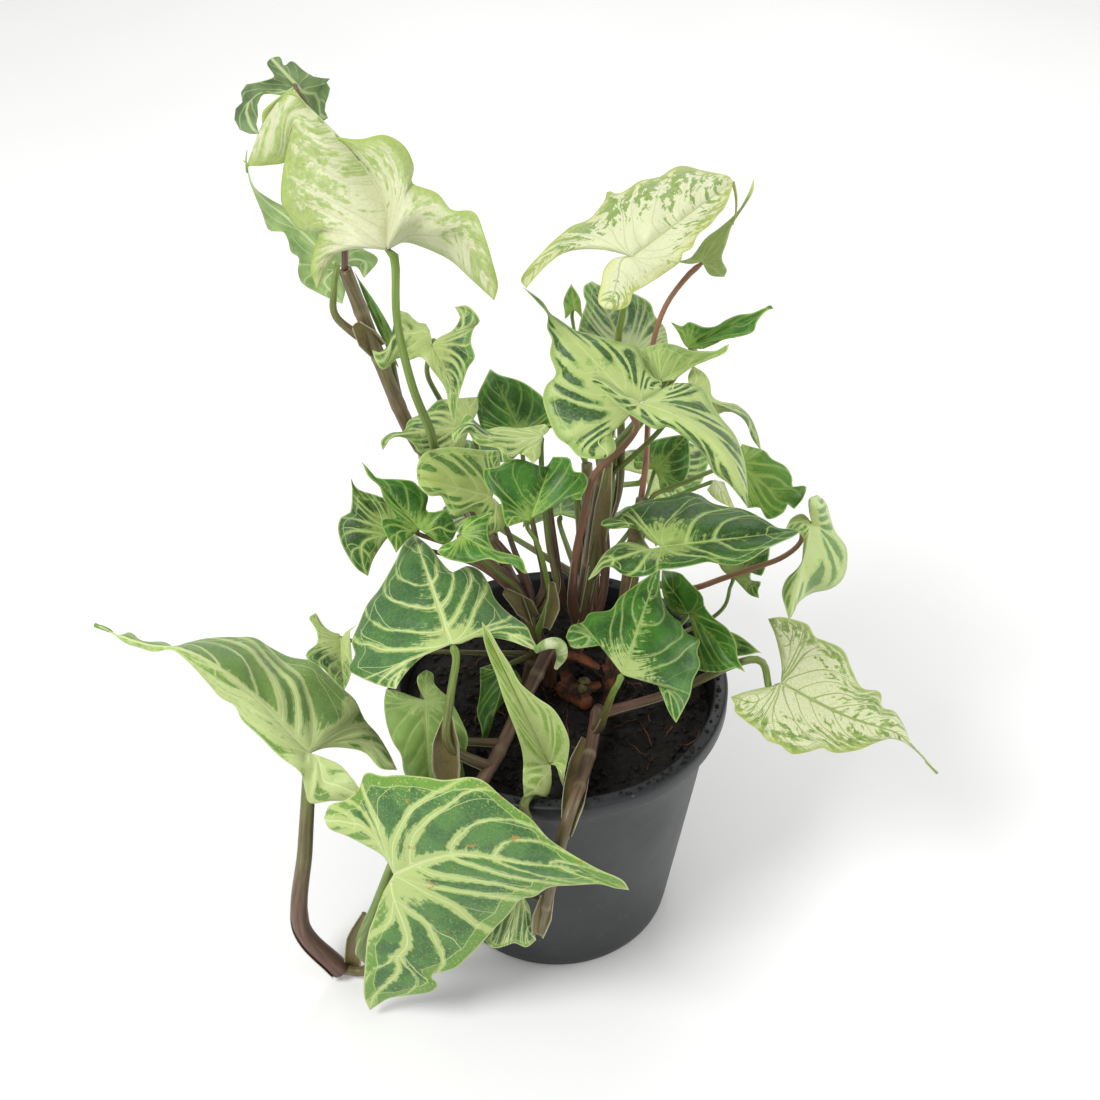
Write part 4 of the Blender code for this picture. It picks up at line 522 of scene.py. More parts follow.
# Thin drips and curls at the ends of some leaves: points after the tip, and the radius at the leaf
TAIL_STEPS = 14
TAIL_SIDES = 8
TAILS = {
    "leaf_top_cream": (((733, 182, 42), (736, 196, 41), (736, 211, 40), (733, 225, 39)), 0.75),
    "leaf_vine_large": (((248, 166, 52), (246, 163, 52), (243, 160, 53)), 0.5),
    "leaf_vine_behind": (((247, 172, 61), (246, 160, 61), (247, 150, 62)), 0.5),
    "leaf_right_cream": (((926, 762, -45), (932, 768, -45), (937, 773, -46)), 0.6),
    "leaf_trailing_left": (((112, 632, -27), (104, 627, -25), (95, 625, -24)), 0.9),
    "leaf_top_right_green": (((764, 310, 24), (770, 306, 24), (773, 309, 24)), 0.6),
}


def smooth_step(values):
    """0 below 0, 1 above 1, and smooth between."""
    values = np.clip(values, 0, 1)
    return values * values * (3 - 2 * values)


def spot(landmark):
    """The place in mm of a landmark: photo pixel x, photo pixel y, depth in mm behind the pot's axis."""
    if isinstance(landmark, Place):
        return np.array(landmark, float)
    x, y, depth = landmark
    side = (x - PHOTO_CENTRE) / PHOTO_LENS
    rise = (PHOTO_CENTRE - y) / PHOTO_LENS
    ray = np.array([side,
                    math.cos(CAMERA_TILT) + rise * math.sin(CAMERA_TILT),
                    rise * math.cos(CAMERA_TILT) - math.sin(CAMERA_TILT)])
    return CAMERA_PLACE + ray * (depth - CAMERA_PLACE[1]) / ray[1]


def unit(vector):
    """The vector, or each of an array of vectors, one long."""
    return vector / np.linalg.norm(vector, axis=-1, keepdims=True)


def travel(line):
    """How far along a line each of its points is."""
    return np.concatenate([[0], np.cumsum(np.linalg.norm(np.diff(line, axis=0), axis=1))])


def smooth_curve(points, steps):
    """Points on a smooth curve through the given ones, evenly spaced along it."""
    points = np.array(points, float)
    padded = np.vstack([2 * points[0] - points[1], points, 2 * points[-1] - points[-2]])
    fine = []
    for a, b, c, d in zip(padded, padded[1:], padded[2:], padded[3:]):
        for t in np.linspace(0, 1, CURVE_STEPS, endpoint=False):
            fine.append(0.5 * (2 * b + (c - a) * t + (2 * a - 5 * b + 4 * c - d) * t ** 2
                               + (3 * b - a - 3 * c + d) * t ** 3))
    fine.append(points[-1])
    fine = np.array(fine)
    along = travel(fine)
    wanted = np.linspace(0, along[-1], steps + 1)
    return np.column_stack([np.interp(wanted, along, column) for column in fine.T])


def marked_curve(marks, steps):
    """A smooth curve through landmarks."""
    return smooth_curve([spot(mark) for mark in marks], steps)


def blade_frame(blade):
    """The stalk's end, the midrib as a vector, and the upward side of the blade as a whole."""
    attach = spot(blade.attach)
    midrib = spot(blade.tip) - attach
    up = unit(np.cross(spot(blade.right) - spot(blade.left), midrib))
    return attach, midrib, up


def margin_place(mark, blade, lobe):
    """The place of a margin's pixel: its own depth, or the depth of the half blade's plane there."""
    if len(mark) == 3:
        return spot(mark)
    corners = np.array([blade.attach, blade.tip, lobe], float)
    shares = np.linalg.solve(np.vstack([corners[:, :2].T, np.ones(3)]), (*mark, 1))
    to_tip, to_lobe = np.clip(shares[1:], -0.6, 1.6)
    depths = corners[:, 2]
    return spot((*mark, depths[0] + to_tip * (depths[1] - depths[0]) + to_lobe * (depths[2] - depths[0])))


def half_margins(blade, right):
    """Half a blade's outer margin from the tip to the lobe and its inner one from the lobe to the stalk."""
    lobe = blade.right if right else blade.left
    if blade.name in MARGINS:
        outer, inner = MARGINS[blade.name][2:] if right else MARGINS[blade.name][:2]
        outer = [margin_place(mark, blade, lobe) for mark in outer]
        inner = [margin_place(mark, blade, lobe) for mark in inner]
    else:
        attach, midrib, _ = blade_frame(blade)
        ahead = unit(midrib)
        reach = spot(lobe) - attach
        side = reach - (reach @ ahead) * ahead
        outer = [attach + across * side + along * midrib for across, along in PLAIN_OUTER]
        inner = [attach + across * side + along * midrib for across, along in PLAIN_INNER]
    ends = [spot(blade.tip)], [spot(lobe)], [spot(blade.attach)]
    return np.array(ends[0] + outer + ends[1]), np.array(ends[1] + inner + ends[2])


def split_margin(outer, attach, rib_steps, lobe_steps):
    """The outer margin as evenly spaced points, split where it comes nearest to the stalk's end."""
    fine = smooth_curve(outer, MARGIN_STEPS)
    first, last = SPLIT_BETWEEN
    nearest = first + int(np.argmin(np.linalg.norm(fine[first:last] - attach, axis=1)))
    return np.vstack([smooth_curve(fine[:nearest + 1], rib_steps),
                      smooth_curve(fine[nearest:], lobe_steps)[1:]])


def vein_origin(along, bend, reach):
    """Where on its main vein the side vein through a place starts, as a share of the main one's length."""
    low = np.zeros(np.broadcast(along, bend).shape)
    high = low + 1
    for _ in range(HALVINGS):
        middle = (low + high) / 2
        past = middle + (1 - middle) * (reach + LATER_REACH * middle) * bend > along
        high = np.where(past, middle, high)
        low = np.where(past, low, middle)
    return low


def vein_rank(along, across, count):
    """The number of the side vein at a place, whole on the vein itself.

    Along is 1 at the tip, 0 at the stalk's end and -1 at the lobe. Across is 0 on the main vein and 1 at the
    margin.
    """
    bend = np.maximum(across, 1e-4) ** VEIN_CURVE
    ahead = count * vein_origin(along, bend, FIRST_REACH) ** 0.75
    behind = -SHOULDER_VEINS - LOBE_VEINS * vein_origin(-along, bend, SHOULDER_REACH) ** 0.8
    turned = (along / bend - FIRST_REACH) / (FIRST_REACH + SHOULDER_REACH)
    return np.where(turned > 0, ahead, np.where(turned < -1, behind, SHOULDER_VEINS * turned))


def rank_gap(rank, places):
    """How many mm apart two side veins are at each point of a grid."""
    down = np.gradient(places, axis=0)
    over = np.gradient(places, axis=1)
    by_down = np.gradient(rank, axis=0)
    by_over = np.gradient(rank, axis=1)
    down_down = (down ** 2).sum(axis=2)
    down_over = (down * over).sum(axis=2)
    over_over = (over ** 2).sum(axis=2)
    slope = over_over * by_down ** 2 - 2 * down_over * by_down * by_over + down_down * by_over ** 2
    slope = slope / np.maximum(down_down * over_over - down_over ** 2, 1e-4)
    return np.clip(1 / np.sqrt(np.maximum(slope, 1e-6)), *VEIN_GAP_RANGE)


# Half a blade as a grid, with rows from its tip round to its lobe and columns out to its margin. For each
# row: how far forward it is, 1 at the tip and 0 from the stalk's end on, how far down the lobe, how far round
# the margin, and whether it is in the lobe. For each column, how far out it is. Last, the rows' widths in mm
# and the places of the points.
Half = namedtuple("Half", "forth lobe_share turn in_lobe out width places")


def half_grid(blade, right, rib_steps, lobe_steps, across_steps):
    """Half a blade's middle surface before it is waved and quilted."""
    rib = marked_curve((blade.tip, *blade.rib[::-1], blade.attach), rib_steps)
    outer, inner = half_margins(blade, right)
    outer = split_margin(outer, spot(blade.attach), rib_steps, lobe_steps)
    inner = np.vstack([rib, smooth_curve(inner[::-1], lobe_steps)[1:]])
    row = np.arange(rib_steps + lobe_steps + 1)[:, None]
    out = np.linspace(0, 1, across_steps + 1)[None, :]
    return Half(
        forth=np.maximum(1 - row / rib_steps, 0),
        lobe_share=np.maximum(row - rib_steps, 0) / lobe_steps,
        turn=row / row[-1],
        in_lobe=row > rib_steps,
        out=out,
        width=np.linalg.norm(outer - inner, axis=1)[:, None],
        places=inner[:, None] + out[..., None] * (outer - inner)[:, None],
    )


def blade_phase(blade):
    """Where a blade's waves start, which is different on each."""
    return random.Random(blade.name).uniform(0, 2 * math.pi)


def vein_measures(blade, right, half):
    """How many mm each point is from the veins and the margin, and the numbers of the side veins."""
    attach, midrib, _ = blade_frame(blade)
    length = np.linalg.norm(midrib)
    out, width, in_lobe = half.out, half.width, half.in_lobe
    rib_gap = np.where(in_lobe, np.linalg.norm(half.places - attach, axis=2), out * width)
    vein_out = LOBE_VEIN * smooth_step(half.lobe_share / 0.45)
    lobe_gap = np.where(in_lobe, (out - vein_out) * width, np.hypot(out * width, length * half.forth))
    across = np.where(out > vein_out, (out - vein_out) / (1 - vein_out), 1 - out / np.maximum(vein_out, 0.02))
    count = np.clip(2 + length / VEIN_SPACING, *VEIN_COUNT_RANGE)
    rank = vein_rank(half.forth - half.lobe_share, across, count)

    # Side veins are a little uneven
    phase = blade_phase(blade)
    rank = rank + 0.10 * np.sin(2.3 * rank + phase + right) + 0.04 * np.sin(9 * out + phase)
    margin = (1 - out) * width
    inner_margin = out * width + 30 * np.maximum(0, 1 - half.lobe_share / 0.2)
    return {
        "rib": rib_gap,
        "lobe": lobe_gap,
        "rank": rank,
        "gap": rank_gap(rank, half.places),
        "side": np.full(rank.shape, float(right)),
        "out": np.broadcast_to(out, rib_gap.shape),
        "margin": np.where(in_lobe, np.minimum(margin, inner_margin), margin),
    }


def blade_lift(blade, half, measures):
    """The blade's own form, as in its solid, with ruffles at the margin and bulges between the veins."""
    _, midrib, up = blade_frame(blade)
    length = np.linalg.norm(midrib)
    phase = blade_phase(blade)
    forth, out, width = half.forth, half.out, half.width
    room = np.minimum(width / 6, 1)
    lift = 6.75 * blade.arch * length * forth ** 2 * (1 - forth) + 4 * blade.bow * width * out * (1 - out)
    lift = lift + room * blade.wave * out ** 2 * np.cos(phase + 2 * math.pi * WAVES_ROUND * half.turn)
    lift = lift + room * RUFFLE * out ** 3 * np.cos(3 * phase + 2 * math.pi * RUFFLES_ROUND * half.turn)
    gap = measures["gap"]
    side_gap = np.abs((measures["rank"] + 0.5) % 1 - 0.5) * gap
    nearest = np.minimum(np.minimum(np.abs(measures["rib"]), np.abs(measures["lobe"])), side_gap)
    bulge = 1 - np.exp(-(nearest / (0.25 * gap + 0.5)) ** 2)
    lift = lift + QUILT * np.minimum(gap / 10, 1) * bulge * smooth_step(measures["margin"] / 5)
    if isinstance(blade.attach, Place):
        return lift[..., None] * up

    # Along the photo's line of sight, so that the outline stays where the photo has it
    way = unit(CAMERA_PLACE - half.places)
    facing = way @ up
    way = way / np.copysign(np.maximum(np.abs(facing), LEAST_FACING), facing)[..., None]
    return lift[..., None] * way


def half_blade(blade, right, rib_steps, lobe_steps, across_steps):
    """Half a blade's middle surface: a grid of points from its tip to its lobe, and their measures."""
    half = half_grid(blade, right, rib_steps, lobe_steps, across_steps)
    measures = vein_measures(blade, right, half)
    places = half.places + blade_lift(blade, half, measures)
    measures["reach"] = np.linalg.norm(places - spot(blade.attach), axis=2)
    return places, measures


def blade_steps(blade):
    """How many rows a fine blade has along its midrib and each lobe, and how many columns to its margin."""
    attach, midrib, _ = blade_frame(blade)
    half_width = max(np.linalg.norm(spot(lobe) - attach) for lobe in (blade.left, blade.right))
    rib_steps = int(np.clip(round(np.linalg.norm(midrib) / CELL / 5) * 5, *RIB_STEPS_RANGE))
    across_steps = int(np.clip(round(half_width / CELL), *ACROSS_STEPS_RANGE))
    return rib_steps, round(rib_steps * LOBE_TO_RIB), across_steps


def middle_surface(blade):
    """Both halves of a blade joined: points, four-cornered faces, the chains of edge points, measures."""
    rib_steps, lobe_steps, across_steps = blade_steps(blade)
    points = []
    measures = {}
    quads = []
    chains = []
    count = 0
    middle = None
    for right in (False, True):
        places, values = half_blade(blade, right, rib_steps, lobe_steps, across_steps)
        ids = count + np.arange(places[..., 0].size).reshape(places.shape[:2])
        if right:
            ids[:rib_steps + 1, 0] = middle
        else:
            middle = ids[:rib_steps + 1, 0]
        ids[0] = middle[0]
        ids[-1] = ids[-1, 0]
        points.append(places.reshape(-1, 3))
        for name, value in values.items():
            measures.setdefault(name, []).append(value.ravel())
        grid = np.stack([ids[:-1, :-1], ids[1:, :-1], ids[1:, 1:], ids[:-1, 1:]], axis=-1).reshape(-1, 4)
        quads.append(grid if right else grid[:, ::-1])
        chain = np.concatenate([ids[:, -1], ids[-2:rib_steps - 1:-1, 0]])
        chains.append(chain[::-1] if right else chain)
        count += ids.size

    # Only the points that a face uses are kept, as the halves and the ends of rows share some
    quads = np.concatenate(quads)
    used, index = np.unique(quads, return_inverse=True)
    points = np.concatenate(points)[used]
    measures = {name: np.concatenate(value)[used] for name, value in measures.items()}
    chains = [np.searchsorted(used, chain).tolist() for chain in chains]
    return points, index.reshape(quads.shape), chains, measures


def point_normals(points, quads):
    """The upward normal of a surface at each of its points."""
    normals = np.zeros_like(points)
    across = np.cross(points[quads[:, 2]] - points[quads[:, 0]], points[quads[:, 3]] - points[quads[:, 1]])
    for corner in range(4):
        np.add.at(normals, quads[:, corner], across)
    return normals / np.maximum(np.linalg.norm(normals, axis=1), 1e-9)[:, None]


def blade_mesh(blade):
    """A blade's points, faces, the side that each face is on, measures, and the normal at its stalk."""
    points, quads, chains, measures = middle_surface(blade)
    normals = point_normals(points, quads)
    half = BLADE_THICKNESS / 2 * (0.4 + 0.6 * smooth_step(measures["margin"] / 1.5))[:, None]
    size = len(points)
    faces = [list(dict.fromkeys(quad)) for quad in quads.tolist()]
    faces = [face for face in faces if len(face) > 2]
    lower = [0] * len(faces) + [1] * len(faces)
    faces += [[corner + size for corner in reversed(face)] for face in faces]
    for chain in chains:
        for a, b in zip(chain, chain[1:]):
            if a != b:
                faces.append([b, a, a + size, b + size])
                lower.append(0)
    square = normals[int(np.argmin(np.linalg.norm(points - spot(blade.attach), axis=1)))]
    points = np.vstack([points + half * normals, points - half * normals])
    measures = {name: np.tile(value, 2) for name, value in measures.items()}
    return points, faces, lower, measures, square


def tube(points, radii, sides):
    """Vertices and faces of a round tube along the points, and each vertex's share along it."""
    points = np.array(points, float)
    count = len(points)
    ways = unit(np.gradient(points, axis=0))
    side = np.cross(ways[0], (0.3, 1.0, 0.2))
    rings = []
    angles = np.arange(sides) * 2 * math.pi / sides
    for point, way, radius in zip(points, ways, radii):
        side = unit(side - way * (side @ way))
        other = np.cross(way, side)
        rings.append(point + radius * (np.cos(angles)[:, None] * side + np.sin(angles)[:, None] * other))
    vertices = np.concatenate(rings)
    ring = np.arange(count - 1)[:, None] * sides
    step = np.arange(sides)[None, :]
    after = (step + 1) % sides
    faces = np.stack([ring + step, ring + after, ring + sides + after, ring + sides + step], -1)
    faces = faces.reshape(-1, 4).tolist()
    faces.append(list(range(sides))[::-1])
    faces.append(list(range((count - 1) * sides, count * sides)))
    along = np.repeat(np.linspace(0, 1, count), sides)
    return vertices, faces, along


def stem_line(shoot):
    """The shoot's stem from its end in the soil to its last point."""
    x, y = shoot.foot
    points = [(x, y, SOIL_TOP - ROOT_DEPTH), (x, y, SOIL_TOP - ROOT_DEPTH / 2), (x, y, SOIL_TOP + 5)]
    points += [spot(landmark) for landmark in shoot.stem]
    length = sum(np.linalg.norm(np.subtract(b, a)) for a, b in zip(points, points[1:]))
    return smooth_curve(points, max(12, round(length / STEM_STEP_LENGTH)))


def stalk_line(blade, stem, square):
    """The stalk from the stem to the blade's underside, where it turns into the midrib."""
    start = stem[round(blade.node * (len(stem) - 1))]
    attach, midrib, up = blade_frame(blade)
    end = attach - square * 0.8
    bend = min(0.12 * np.linalg.norm(end - start), 6)
    below = end - bend * unit(0.4 * unit(midrib) + up)
    points = [start] + [spot(landmark) for landmark in blade.via] + [below, end]
    return smooth_curve(points, STALK_STEPS)


def stalk_size(blade):
    """The radius of a stalk just under its blade."""
    return 0.5 + 0.013 * np.linalg.norm(spot(blade.tip) - spot(blade.attach))


def trough(line, half_widths, thickness, opening):
    """An open sheath along a line: a gutter that opens to one side, with thin edges and both of its faces."""
    line = np.array(line, float)
    count = len(line)
    ways = unit(np.gradient(line, axis=0))
    angles = np.linspace(-1, 1, TROUGH_SIDES)
    inner = []
    outer = []
    for point, way, half, spread in zip(line, ways, half_widths, np.broadcast_to(opening, (count, 3))):
        face = unit(spread - way * (spread @ way))
        side = np.cross(way, face)
        for angle in angles:
            bend = TROUGH_TURN * angle
            place = point + half * (math.sin(bend) * side - TROUGH_DEPTH * math.cos(bend) * face)
            edge = 0.35 + 0.65 * (1 - angle ** 4)
            outward = unit(math.sin(bend) * side - math.cos(bend) * face)
            inner.append(place - 0.5 * thickness * edge * outward)
            outer.append(place + 0.5 * thickness * edge * outward)
    size = len(inner)
    faces = []
    for i in range(count - 1):
        for k in range(TROUGH_SIDES - 1):
            a = i * TROUGH_SIDES + k
            b, c, d = a + 1, a + TROUGH_SIDES + 1, a + TROUGH_SIDES
            faces.append([a, b, c, d])
            faces.append([d + size, c + size, b + size, a + size])
    rim = [i * TROUGH_SIDES for i in range(count)]
    rim += [(count - 1) * TROUGH_SIDES + k for k in range(1, TROUGH_SIDES)]
    rim += [i * TROUGH_SIDES + TROUGH_SIDES - 1 for i in range(count - 2, -1, -1)]
    rim += list(range(TROUGH_SIDES - 2, 0, -1))
    for a, b in zip(rim, rim[1:] + rim[:1]):
        faces.append([b, a, a + size, b + size])
    edge = np.tile(np.abs(angles), count)
    along = np.repeat(np.linspace(0, 1, count), TROUGH_SIDES)
    inside = np.concatenate([np.ones(size), np.zeros(size)])
    return np.array(inner + outer), faces, np.tile(along, 2), np.tile(edge, 2), inside


def pot_wall_radius(height):
    """The pot's outer radius below its rim."""
    return BASE_RADIUS + (SHOULDER_RADIUS - BASE_RADIUS) * height / POT_HEIGHT


def new_piece(name, vertices, faces, materials, nodes=(), indices=None, measures=None, smooth=True):
    """A mesh piece that rides on the plant's body, with its measures as flat attributes on its points."""
    mesh = bpy.data.meshes.new(name)
    mesh.from_pydata((np.array(vertices) * MM).tolist(), [], faces)
    for title, values in (measures or {}).items():
        layer = mesh.attributes.new(title, "FLOAT", "POINT")
        layer.data.foreach_set("value", np.asarray(values, np.float32))
    for material in materials:
        mesh.materials.append(material)
    if indices is not None:
        mesh.polygons.foreach_set("material_index", np.asarray(indices, np.int32))
    if smooth:
        mesh.polygons.foreach_set("use_smooth", np.ones(len(mesh.polygons), bool))
    mesh.update()
    piece = bpy.data.objects.new(name, mesh)
    bpy.context.scene.collection.objects.link(piece)
    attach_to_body(piece, "root")
    if nodes:
        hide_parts(*nodes)
    return piece


def join_shapes(shapes):
    """Several shapes' vertices, faces and measures as one."""
    vertices = []
    faces = []
    measures = {}
    count = 0
    names = sorted({name for shape in shapes for name in shape[2]})
    for points, polygons, values in shapes:
        vertices.append(np.asarray(points))
        faces += [[corner + count for corner in face] for face in polygons]
        count += len(points)
        for name in names:
            measures.setdefault(name, []).append(np.broadcast_to(values.get(name, 0.0), (len(points),)))
    return np.concatenate(vertices), faces, {name: np.concatenate(parts) for name, parts in measures.items()}


def paint(code):
    """A colour written as in a picture, such as #4c8038, in the shader's own linear scale."""
    shares = [int(code[i:i + 2], 16) / 255 for i in (1, 3, 5)]
    return (*[((s + 0.055) / 1.055) ** 2.4 if s > 0.04045 else s / 12.92 for s in shares], 1)


class Graph:
    """A material's node tree, with a short way to add each kind of node that the looks use."""

    def __init__(self, name, roughness):
        self.material = bpy.data.materials.new(name)
        self.material.use_nodes = True
        self.tree = self.material.node_tree
        self.shader = self.tree.nodes["Principled BSDF"]
        self.shader.inputs["Roughness"].default_value = roughness
        self.place = self.tree.nodes.new("ShaderNodeTexCoord").outputs["Object"]

    def feed(self, value, socket):
        """Links a socket to another one, or sets it to a number or to the colour of a code."""
        if isinstance(value, bpy.types.NodeSocket):
            self.tree.links.new(value, socket)
        else:
            socket.default_value = paint(value) if isinstance(value, str) else value

    def maths(self, operation, *values):
        node = self.tree.nodes.new("ShaderNodeMath")
        node.operation = operation
        for value, socket in zip(values, node.inputs):
            self.feed(value, socket)
        return node.outputs[0]

    def plus(self, a, b):
        return self.maths("ADD", a, b)

    def minus(self, a, b):
        return self.maths("SUBTRACT", a, b)

    def times(self, a, b):
        return self.maths("MULTIPLY", a, b)

    def larger(self, a, b):
        return self.maths("MAXIMUM", a, b)

    def apart(self, a, b):
        """How far two values are apart."""
        return self.maths("ABSOLUTE", self.minus(a, b))

    def scaled(self, value, factor, offset):
        """A value times a factor, plus an offset."""
        return self.maths("MULTIPLY_ADD", value, factor, offset)

    def swing(self, noise, width):
        """A noise as a shift to both sides that is so wide in all."""
        return self.scaled(noise, width, -width / 2)

    def measure(self, name):
        """One of the measures that a mesh carries on its points."""
        node = self.tree.nodes.new("ShaderNodeAttribute")
        node.attribute_name = name
        return node.outputs["Fac"]

    def from_main_veins(self):
        """How many mm a point is from the nearest main vein."""
        to_veins = [self.maths("ABSOLUTE", self.measure(name)) for name in ("rib", "lobe")]
        return self.maths("MINIMUM", *to_veins)

    def chance(self, value):
        """A number between 0 and 1 that the value picks."""
        node = self.tree.nodes.new("ShaderNodeTexWhiteNoise")
        node.noise_dimensions = "1D"
        self.feed(value, node.inputs["W"])
        return node.outputs["Value"]

    def vector(self, x, y, z):
        node = self.tree.nodes.new("ShaderNodeCombineXYZ")
        for value, socket in zip((x, y, z), node.inputs):
            self.feed(value, socket)
        return node.outputs[0]

    def fade(self, value, full, none):
        """1 up to the first value, 0 from the second, and smooth between."""
        node = self.tree.nodes.new("ShaderNodeMapRange")
        node.interpolation_type = "SMOOTHSTEP"
        for given, socket in zip((value, full, none, 1.0, 0.0), node.inputs):
            self.feed(given, socket)
        return node.outputs[0]

    def noise(self, scale, detail=2.0, rough=0.5, distortion=0.0, vector=None):
        """Cloudy noise round 0.5, at the point's own place unless another vector is given."""
        node = self.tree.nodes.new("ShaderNodeTexNoise")
        self.feed(self.place if vector is None else vector, node.inputs["Vector"])
        for title, value in (("Scale", scale), ("Detail", detail), ("Roughness", rough),
                             ("Distortion", distortion)):
            node.inputs[title].default_value = value
        return node.outputs["Fac"]

    def cells(self, scale):
        """How far a point is from the edges of a net of cells."""
        node = self.tree.nodes.new("ShaderNodeTexVoronoi")
        node.feature = "DISTANCE_TO_EDGE"
        self.feed(self.place, node.inputs["Vector"])
        node.inputs["Scale"].default_value = scale
        return node.outputs["Distance"]

    def mix(self, share, first, second):
        """The first colour where the share is 0 and the second where it is 1."""
        node = self.tree.nodes.new("ShaderNodeMix")
        node.data_type = "RGBA"
        for value, index in ((share, 0), (first, 6), (second, 7)):
            self.feed(value, node.inputs[index])
        return node.outputs[2]

    def cover(self, colour, share, strength, over):
        """A colour with another one over it, as far as the share times the strength goes."""
        return self.mix(self.times(share, strength), colour, over)

    def finish(self, colour, height=None, depth=0.0002, strength=0.5, roughness=None):
        """The material, with a bump of the height given where there is one."""
        self.feed(colour, self.shader.inputs["Base Color"])
        if roughness is not None:
            self.feed(roughness, self.shader.inputs["Roughness"])
        if height is not None:
            bump = self.tree.nodes.new("ShaderNodeBump")
            bump.inputs["Strength"].default_value = strength
            bump.inputs["Distance"].default_value = depth
            self.feed(height, bump.inputs["Height"])
            self.feed(bump.outputs[0], self.shader.inputs["Normal"])
        return self.material


# How a leaf is coloured. Colours: its panels between the veins in two tones, the flush along the veins, the
# veins, the outer band, the specks and the thin margin. In mm: how far the flush reaches from a vein and from
# the stalk's end, and how wide the midrib is. Shares: how far out the flush goes, side veins, outer band,
# net, specks, ragged edges of the flush, green blotches on it and rusty spots. Last, how many times more side
# veins than usual, and the share of dark ovals between them on a pale ground.
Look = namedtuple("Look", "panel deep flush vein band speck margin bleed centre rib inner sides outer net "
                          "specks rag blotches rust dense ovals", defaults=(0.0,))

LOOKS = {
    "grey": Look("#52803f", "#3f6a37", "#b6c97c", "#cfdb9a", "#6f9a3c", "#b3c45c", "#bccb86",
                 2.0, 13, 1.1, 0.0, 0.85, 0.8, 0.2, 0.9, 1.1, 0.0, 0.0, 1.0),
    "green": Look("#3f7424", "#2c571c", "#93b358", "#a2be60", "#47802a", "#7ea03e", "#9db85f",
                  0.3, 8, 0.8, 0.0, 0.35, 0.4, 0.15, 0.4, 1.2, 0.0, 0.0, 1.0),
    "veined": Look("#315c1e", "#234616", "#98b05f", "#adc077", "#3c6c22", "#839f45", "#a3b775",
                   0.9, 12, 1.1, 0.0, 0.8, 0.5, 0.2, 0.4, 1.3, 0.0, 0.1, 1.0),
    "mottled": Look("#3c6030", "#2b4a28", "#b3c47a", "#c3d08c", "#62903c", "#9cb556", "#b3c37d",
                    1.1, 13, 0.8, 0.3, 0.6, 0.7, 0.2, 0.7, 0.9, 0.0, 0.0, 1.5),
    "cream": Look("#86a243", "#6b8c36", "#d8dbb4", "#aebb82", "#b3c26c", "#6b8c36", "#b9c46e",
                  9.0, 60, 0.7, 1.1, 0.55, 0.5, 0.5, 0.5, 1.0, 0.55, 0.0, 1.3),
    "pale": Look("#769848", "#5f843b", "#b0c47a", "#c4d38c", "#7ba346", "#b9ca7a", "#b9c788",
                 1.8, 16, 1.1, 0.15, 0.8, 0.5, 0.3, 0.5, 1.4, 0.0, 0.0, 1.3),
}

